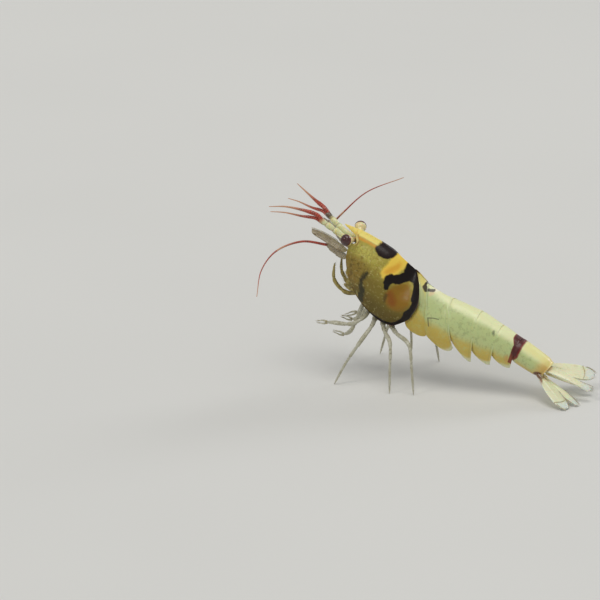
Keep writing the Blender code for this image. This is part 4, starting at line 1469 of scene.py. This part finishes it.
def maxilliped(sign, word):
    """The last pair of mouth limbs, reaching up in front of the face, bristly inside."""
    points = sided(sign, (0.5, 3.2, -4.75), (0.72, 4.2, -5.25), (0.86, 5.5, -4.75), (0.8, 6.2, -3.4))
    path = body_path(points, 12, 0.05)
    node = f"maxilliped_{word}"
    build, tufts = Build(), Build()
    build.turned(path, MAXILLIPED, 16)
    build.make(f"{node}_joints", "mouth", (node,))
    for _ in range(150):
        share = DICE.uniform(0.3, 1.0)
        spot = spot_at(path, share)
        ahead = heading(path, spot)
        inward = head_direction(-sign * DICE.uniform(0.2, 1.0), -0.9, DICE.uniform(-0.1, 0.5))
        length = DICE.uniform(0.18, 0.42)
        bristle(tufts, path[spot], inward + ahead * 0.7, length, bend=ahead, spot=(DICE.random(), share))
    tufts.make_hair(f"{node}_bristles", "clear_limbs")


# Upper lip and left jaw, then the left mouth leaves: root, tip, half width and thickness
LIP = ((0.0, 4.7, -2.5), (0.0, 5.1, -3.0), (0.0, 5.0, -3.6))
JAW = ((0.75, 4.3, -2.9), (0.62, 4.75, -3.3), (0.28, 4.85, -3.8))
MOUTH_LEAVES = (
    ((0.62, 3.75, -3.75), (0.72, 5.0, -3.5), 0.3, 0.05),
    ((0.72, 3.5, -4.15), (0.85, 4.85, -4.1), 0.32, 0.06),
    ((0.66, 3.2, -4.45), (0.8, 4.6, -4.6), 0.28, 0.06),
)


def mouthparts():
    """Upper lip, jaws and three pairs of overlapping mouth leaves, fringed below."""
    build, fringe = Build(), Build()
    lip = resampled([rolled(head(*place)) for place in LIP], 0.06)
    build.turned(lip, ((0.0, 0.18), (0.5, 0.34), (1.0, 0.12)), 18)
    for sign in (1.0, -1.0):
        jaw = body_path(sided(sign, *JAW), 10, 0.06)
        build.turned(jaw, ((0.0, 0.24), (0.45, 0.32), (1.0, 0.14)), 18)
        for number, (*ends, half, thick) in enumerate(MOUTH_LEAVES):
            root, tip = [rolled(point) for point in sided(sign, *ends)]
            along = (tip - root).normalized()
            flat = square_to(along, head_direction(sign, 0.0, 0.15))
            path = [root.lerp(tip, share) + flat * 0.12 * math.sin(math.pi * share) for share in even(25)]
            radii = leaf_radii(len(path), half, 0.1, 0.96, 0.7)
            build.tube(path, radii, 20, (flat, thick / half))
            down = -upright(along.cross(flat))
            for share in even(34):
                spot = spot_at(path, share)
                root, aim = path[spot] + down * radii[spot], down + along * blend(0.2, 1.6, share)
                length = DICE.uniform(0.16, 0.3)
                bristle(fringe, root, aim, length, bend=along, spot=(0.2 + 0.2 * number, share))
    build.make("mouth_limbs", "mouth", ("mouthparts",))
    fringe.make_hair("mouth_fringe", "clear_limbs")


# ---------------------------------------------------------------- limbs

# For each leg: where its hip lies along the chest, then the way from knee to tip, each point by
# its side, how far it is ahead of the nape and its height, for the left and for the right
LEGS = (
    (2.35, ((1.1, 4.75, 5.5), (1.3, 5.3, 4.1), (1.25, 6.0, 3.55), (1.1, 6.8, 3.6)),
     ((1.1, 4.8, 5.3), (1.35, 5.6, 4.3), (1.3, 6.2, 4.0), (1.1, 6.9, 4.2))),
    (1.62, ((1.75, 4.1, 5.45), (2.5, 4.95, 5.05), (2.6, 6.5, 5.0), (2.1, 8.0, 4.7)),
     ((1.75, 4.0, 5.2), (2.4, 4.6, 4.7), (2.6, 5.7, 4.4), (2.2, 7.0, 4.0))),
    (0.88, ((1.9, 3.3, 4.85), (3.1, 3.76, 3.95), (3.7, 4.9, 2.0), (4.0, 5.86, 0.0)),
     ((1.9, 3.2, 4.9), (3.3, 3.4, 4.1), (3.9, 4.1, 2.0), (4.2, 4.7, 0.0))),
    (0.14, ((2.0, 2.1, 4.6), (3.4, 1.1, 4.1), (4.1, 0.85, 2.0), (4.4, 0.75, 0.0)),
     ((2.0, 2.2, 4.8), (3.5, 1.9, 4.3), (4.3, 1.9, 2.0), (4.6, 2.0, 0.0))),
    (-0.6, ((1.85, 1.1, 4.5), (3.2, -0.5, 4.1), (3.8, -1.0, 2.0), (4.0, -1.25, 0.0)),
     ((1.85, 1.2, 4.7), (3.2, 0.1, 4.4), (3.9, -0.4, 2.1), (4.2, -0.7, 0.0))),
)
COXA_SIDES = (0.62, 0.78)
COXA_DROP = 0.5
PALM_SHARE = 0.86
SWIMMING_PAIRS = 5
# Radii of a walking and of a grasping leg, by share of the length
WALKING = ((0.0, 0.27), (0.12, 0.25), (0.145, 0.18), (0.17, 0.2), (0.24, 0.19), (0.26, 0.15), (0.3, 0.17),
           (0.4, 0.185), (0.505, 0.17), (0.525, 0.12), (0.55, 0.13), (0.64, 0.14), (0.655, 0.1), (0.68, 0.11),
           (0.9, 0.1), (0.925, 0.075), (0.94, 0.085), (0.985, 0.045), (1.0, 0.012))
GRASPING = ((0.0, 0.27), (0.12, 0.24), (0.15, 0.17), (0.2, 0.19), (0.38, 0.17), (0.41, 0.13), (0.46, 0.15),
            (0.6, 0.19), (0.63, 0.13), (0.68, 0.17), (0.82, 0.19), (0.9, 0.15), (1.0, 0.08))


def claw(path, build, tufts):
    """The shell of a walking leg, with a few short bristles."""
    build.turned(path, WALKING, 14)
    for number, part in enumerate(even(26)):
        share = blend(0.3, 0.97, part)
        spot = spot_at(path, share)
        ahead = heading(path, spot, 2)
        out = Matrix.Rotation(2.4 * number, 3, ahead) @ ahead.orthogonal().normalized()
        bristle(tufts, path[spot] + out * 0.06, out + ahead * 0.9, 0.16, 0.01, spot=(0.5, share))


def pincer(path, build, tufts):
    """The shell of a grasping leg, whose two fingers end in brushes."""
    palm_end = spot_at(path, PALM_SHARE)
    build.turned(path[: palm_end + 1], GRASPING, 16)
    ahead = (path[-1] - path[palm_end]).normalized()
    across = ahead.cross(Vector((0.0, 0.0, 1.0))).normalized()
    up = across.cross(ahead)
    length = (path[-1] - path[palm_end]).length + 0.1
    for turn in (1.0, -1.0):
        finger = []
        for share in even(15):
            gape = up * turn * (0.05 + 0.09 * math.sin(math.pi * share))
            finger.append(path[palm_end] - ahead * 0.08 + ahead * length * share + gape)
        build.tube(finger, [0.095 * (1.0 - 0.72 * share**1.4) for share in even(15)], 12)
        for _ in range(30):
            aim = ahead + up * DICE.uniform(-0.35, 0.35) + across * DICE.uniform(-0.4, 0.4)
            root = finger[DICE.randrange(10, 15)]
            bristle(tufts, root, aim, DICE.uniform(0.25, 0.42), bend=ahead, spot=(DICE.random(), 0.9))


def leg(index, sign, word):
    """A leg with its joints. The first two pairs end in brushed pincers, the others in claws."""
    hip, left, right = LEGS[index]
    floor = belly_line(hip) + 0.1
    coxa = sided(sign, (COXA_SIDES[0], hip, floor), (COXA_SIDES[1], hip, floor - COXA_DROP))
    points = [rolled(point) for point in coxa]
    points += [ground(sign * side, ahead, height) for side, ahead, height in (left if sign > 0 else right)]
    build, tufts = Build(), Build()
    shape = pincer if index < 2 else claw
    shape(resampled(spline(points, 14), 0.05), build, tufts)
    node = f"leg_{index + 1}_{word}"
    build.make(f"{node}_joints", "limb", (node,))
    tufts.make_hair(f"{node}_bristles", "clear_limbs")


def pleopod(index, sign, word):
    """A swimming leg folded back under the abdomen: a stalk with two fringed leaves."""
    belly = between_joints(index, BELLY, 0.4) - 0.05
    lip = JOINTS[index + 1][HALF_WIDTH] * 0.82 - 0.45
    half = min(0.24, 0.5 * (lip - 0.2))
    side = sign * (0.1 + half + 0.04)
    front, rear = joint_point(index, side, belly), joint_point(index + 1, side, belly)
    back = (rear - front).normalized()
    drop = Vector((0.0, 0.0, -0.42))
    root = front.lerp(rear, 0.3)
    knee = root + back * 0.35 + drop * 0.75
    reach = 0.95 if index in (0, SWIMMING_PAIRS - 1) else 1.2
    build, fringe = Build(), Build()
    stalk = [rolled(point) for point in spline([root, root.lerp(knee, 0.6), knee], 8)]
    build.turned(stalk, ((0.0, 0.13), (0.5, 0.15), (1.0, 0.1)), 12)
    for shift, shorter in ((0.45, 1.0), (-0.45, 0.85)):
        start = knee + SIDEWAYS * (shift * half)
        tip = root + back * reach * shorter + drop + Vector((shift * half * 1.6, 0.0, 0.03 * shift))
        path = [rolled(point) for point in lerped(start, tip, 17)]
        radii = leaf_radii(len(path), half * 0.62, 0.14, 0.97, 0.6)
        along = (path[-1] - path[0]).normalized()
        flat = SIDEWAYS.cross(along).normalized()
        build.tube(path, radii, 14, (flat, 0.28))
        for part in even(18):
            share = blend(0.25, 1.0, part)
            spot = spot_at(path, share)
            for turn in (-1.0, 1.0):
                out = along.cross(flat) * turn
                place, aim = path[spot] + out * radii[spot] * 0.9, along + out * (1.1 - share)
                length = DICE.uniform(0.16, 0.24)
                bristle(fringe, place, aim, length, bend=along, spot=(0.5 + turn * 0.2, share))
    node = f"pleopod_{index + 1}_{word}"
    build.make(f"{node}_leaves", "limb", (node,))
    fringe.make_hair(f"{node}_fringe", "clear_limbs")


# ---------------------------------------------------------------- tail fan

# The fan's side leaves: where base and tip lie (side, ahead of the nape, height), how far the
# outer edge hangs, the half width and the share of the length at which it is widest
FAN = {
    ("exopod", 1): ((0.97, -11.4, 1.98), (2.66, -14.25, 0.12), -0.27, 0.64, 0.68),
    ("exopod", -1): ((-0.95, -11.4, 2.32), (-2.5, -15.1, 1.42), 0.5, 0.78, 0.68),
    ("endopod", 1): ((0.42, -11.7, 1.7), (1.56, -14.9, 0.13), -0.2, 0.4, 0.55),
    ("endopod", -1): ((-0.42, -11.7, 1.82), (-1.22, -15.3, 0.78), 0.0, 0.42, 0.55),
}


def fan_leaf(kind, sign, word):
    """A side leaf of the fan, with keel, suture and fringe."""
    base, tip, hang, half, widest = FAN[(kind, sign)]
    base, tip = ground(*base), ground(*tip)
    base = base.lerp(tip, -0.06)
    along = (tip - base).normalized()
    across = square_to(along, Vector((sign, 0.0, hang)))

    def outline(share):
        if share < widest:
            reach = blend(0.17, half, math.sin(0.5 * math.pi * share / widest))
        else:
            reach = half * max(1.0 - ((share - widest) / (1.0 - widest)) ** 2.2, 0.0) ** 0.5
        straight = 0.94 if kind == "exopod" and share < 0.76 else 0.9
        return reach * 0.97 + 0.005, reach * straight + 0.005

    grid, spots = leaf_grid(base, tip, across, outline, 70, 34, cup=-0.05, keel=0.06)
    # The upper face stays a leaf's thickness above the ground
    grid[..., 2] = np.maximum(grid[..., 2], LEAF)
    grid, spots = outward_grid(grid, spots)
    node = f"{kind}_{word}"
    shell(f"{node}_leaf", grid, LEAF, "fan", (node,), {"shape": spots})
    fringe = Build()
    for part in even(130):
        turn = 1.0 if part > 0.5 else -1.0
        # The outer edge of an outer leaf is bare up to its suture
        first = 0.8 if kind == "exopod" and turn > 0 else 0.5
        share = blend(first, 0.995, 1.0 - abs(2.0 * part - 1.0))
        root = base.lerp(tip, share) + across * turn * outline(share)[part > 0.5] * 0.96
        root.z = max(root.z, 0.08)
        aim = along * blend(0.8, 1.5, share) + across * turn * blend(0.9, 0.25, share)
        aim.z = max(aim.z, -root.z * 2.0)
        # No bristle reaches below the ground
        longest = max(root.z - 0.012, 0.02) / max(-aim.normalized().z, 1e-3)
        length = min(DICE.uniform(0.2, 0.3) * blend(0.8, 1.0, share), longest)
        bristle(fringe, root, aim, length, spot=(0.5 + 0.3 * turn, share))
    fringe.make_hair(f"{node}_fringe", "cream_fan")
    if kind == "exopod":
        suture(node, base, tip, across, outline)


def suture(node, base, tip, across, outline):
    """The seam across an outer leaf near its end, with a small spine at the outer edge."""
    along = (tip - base).normalized()
    normal = upright(across.cross(along))
    path = []
    for part in even(25):
        share = 0.77 + 0.035 * math.sin(math.pi * part) - 0.02 * part
        inner, outer = outline(share)
        place = base.lerp(tip, share) + across * blend(-inner, outer, part) * 0.97
        path.append(place + normal * (-0.05 * (2.0 * part - 1.0) ** 2 + 0.01))
    build = Build()
    build.tube(path, [0.022] * len(path), 8)
    first_spine, end_spine = 6, 24
    for place in path[first_spine:end_spine:2]:
        bristle(build, place, along + normal * 0.2, 0.09, 0.022)
    bristle(build, path[-1], along + across * 0.1, 0.16, 0.035)
    build.make(f"{node}_suture", "seam")


def telson():
    """The middle leaf of the fan: a domed plate with small spines above and at its end."""
    base = joint_point(LAST + 1, 0.0, 0.62) + Vector((0.0, -0.1, 0.1))
    tip = base + Vector((0.0, 3.85, -1.56))
    along = (rolled(tip) - rolled(base)).normalized()

    def outline(share):
        past = max(share - 0.93, 0.0) / 0.07
        reach = blend(0.6, 0.27, share) * math.sqrt(max(1.0 - past**2, 0.0))
        return reach + 0.005, reach + 0.005

    grid, spots = outward_grid(*leaf_grid(base, tip, SIDEWAYS, outline, 60, 31, cup=-0.16, arch=0.1))
    maps, normals = {"shape": spots}, grid_normals(grid)
    shell("telson_leaf", grid, 0.12, "fan", ("telson",), maps, normals)
    spines, fringe = Build(), Build()
    for share in (0.55, 0.68, 0.8, 0.9):
        for sign in (1.0, -1.0):
            root = rolled(base.lerp(tip, share) + Vector((sign * outline(share)[1] * 0.72, 0.0, 0.02)))
            bristle(spines, root + Vector((0.0, 0.0, 0.03)), along + Vector((0.0, 0.0, 0.25)), 0.14, 0.022)
    lengths = (0.32, 0.22, 0.32, 0.32, 0.32, 0.32, 0.32, 0.22, 0.32)
    for share, length in zip(even(len(lengths)), lengths):
        part = 2.0 * share - 1.0
        root = rolled(base.lerp(tip, 0.97) + Vector((part * 0.2, 0.0, -0.05)))
        bristle(fringe, root, along + SIDEWAYS * part * 0.25, length, 0.014, spot=(0.5 + part * 0.3, 0.9))
    spines.make("telson_spines", "fan")
    fringe.make_hair("telson_fringe", "cream_fan")


def fan_roots():
    """The short stalks that carry the side leaves, beside the end of the last tergite."""
    build = Build()
    for sign in (1, -1):
        start = rolled(joint_point(LAST + 1, sign * 0.55, 1.25)) + Vector((0.0, -0.45, 0.15))
        for kind, width in (("exopod", 0.26), ("endopod", 0.2)):
            base, tip = [ground(*place) for place in FAN[(kind, sign)][:2]]
            path = spline([start, start.lerp(base, 0.6), base, base.lerp(tip, 0.06)], 8)
            radii = profile(len(path), ((0.0, width), (0.6, width), (1.0, 0.08)))
            points, faces, spots = tube(path, radii)
            # They take the look of the leaves' first tenth
            build.add(points, faces, [(around, 0.1 * along) for around, along in spots])
    build.make("fan_roots", "fan")


# ---------------------------------------------------------------- studio


def studio():
    """A pale floor, soft lights and a long lens that sees the shrimp as the photograph does."""
    size = 4.0
    corners = [(x * size, y * size, 0.0) for x, y in ((-1, -1), (1, -1), (1, 1), (-1, 1))]
    floor = bpy.data.meshes.new("floor")
    floor.from_pydata(corners, [], [(0, 1, 2, 3)])
    grey = mottled_look("studio floor", (222, 222, 219), 0.7, (0.02,), (0.35, 0.65), (216, 216, 213), 0.3)
    floor.materials.append(grey)
    placed("floor", floor)

    scene = bpy.context.scene
    scene.world = bpy.data.worlds.new("studio")
    scene.world.use_nodes = True
    sky = scene.world.node_tree.nodes["Background"].inputs
    sky["Color"].default_value = (0.96, 0.97, 0.98, 1.0)
    sky["Strength"].default_value = 0.4
    scene.view_settings.view_transform = "Standard"

    azimuth, rise = VIEW_AZIMUTH, VIEW_ELEVATION
    right = Vector((math.cos(azimuth), math.sin(azimuth), 0.0))
    back = Vector((math.sin(azimuth) * math.cos(rise), -math.cos(azimuth) * math.cos(rise), math.sin(rise)))
    up = back.cross(right)
    # Each lamp: where its light comes from, its spread in degrees, its strength and its colour
    lamps = (
        ("top", Vector((20.0, 30.0, 190.0)), 34.0, 0.95, (1.0, 0.98, 0.93)),
        ("key", right * -130.0 + back * 90.0 + Vector((0.0, 0.0, 120.0)), 18.0, 0.55, (1.0, 0.97, 0.92)),
        ("rim", right * 120.0 - back * 110.0 + Vector((0.0, 0.0, 110.0)), 20.0, 0.5, (0.97, 0.98, 1.0)),
    )
    for name, towards, spread, power, colour in lamps:
        lamp = bpy.data.lights.new(name, "SUN")
        lamp.angle = math.radians(spread)
        lamp.energy = power
        lamp.color = colour
        holder = placed(name, lamp)
        holder.location = (NAPE + towards) * MM
        holder.rotation_euler = (-towards).to_track_quat("-Z", "Y").to_euler()

    lens = bpy.data.cameras.new("camera")
    lens.sensor_width = SENSOR_WIDTH
    lens.lens = SENSOR_WIDTH * VIEW_DISTANCE / VIEW_WIDTH
    lens.clip_start, lens.clip_end = 0.02, 20.0
    scene.camera = placed("camera", lens)
    aim = NAPE - right * VIEW_WIDTH * NAPE_IN_VIEW[0] - up * VIEW_WIDTH * NAPE_IN_VIEW[1]
    turn = Matrix((right, up, back)).transposed().to_4x4()
    scene.camera.matrix_world = Matrix.Translation((aim + back * VIEW_DISTANCE) * MM) @ turn


def build():
    carapace()
    rostrum()
    for index in range(len(TERGITES)):
        tergite(index)
    inner_skin()
    chest()
    mouthparts()
    telson()
    fan_roots()
    for word, sign in (("left", 1), ("right", -1)):
        for part in (eye, antennule, antennule_whips, antenna_base, antenna_scale, antenna, maxilliped):
            part(sign, word)
        for index in range(len(LEGS)):
            leg(index, sign, word)
        for index in range(SWIMMING_PAIRS):
            pleopod(index, sign, word)
        for kind in ("exopod", "endopod"):
            fan_leaf(kind, sign, word)
    studio()


build()
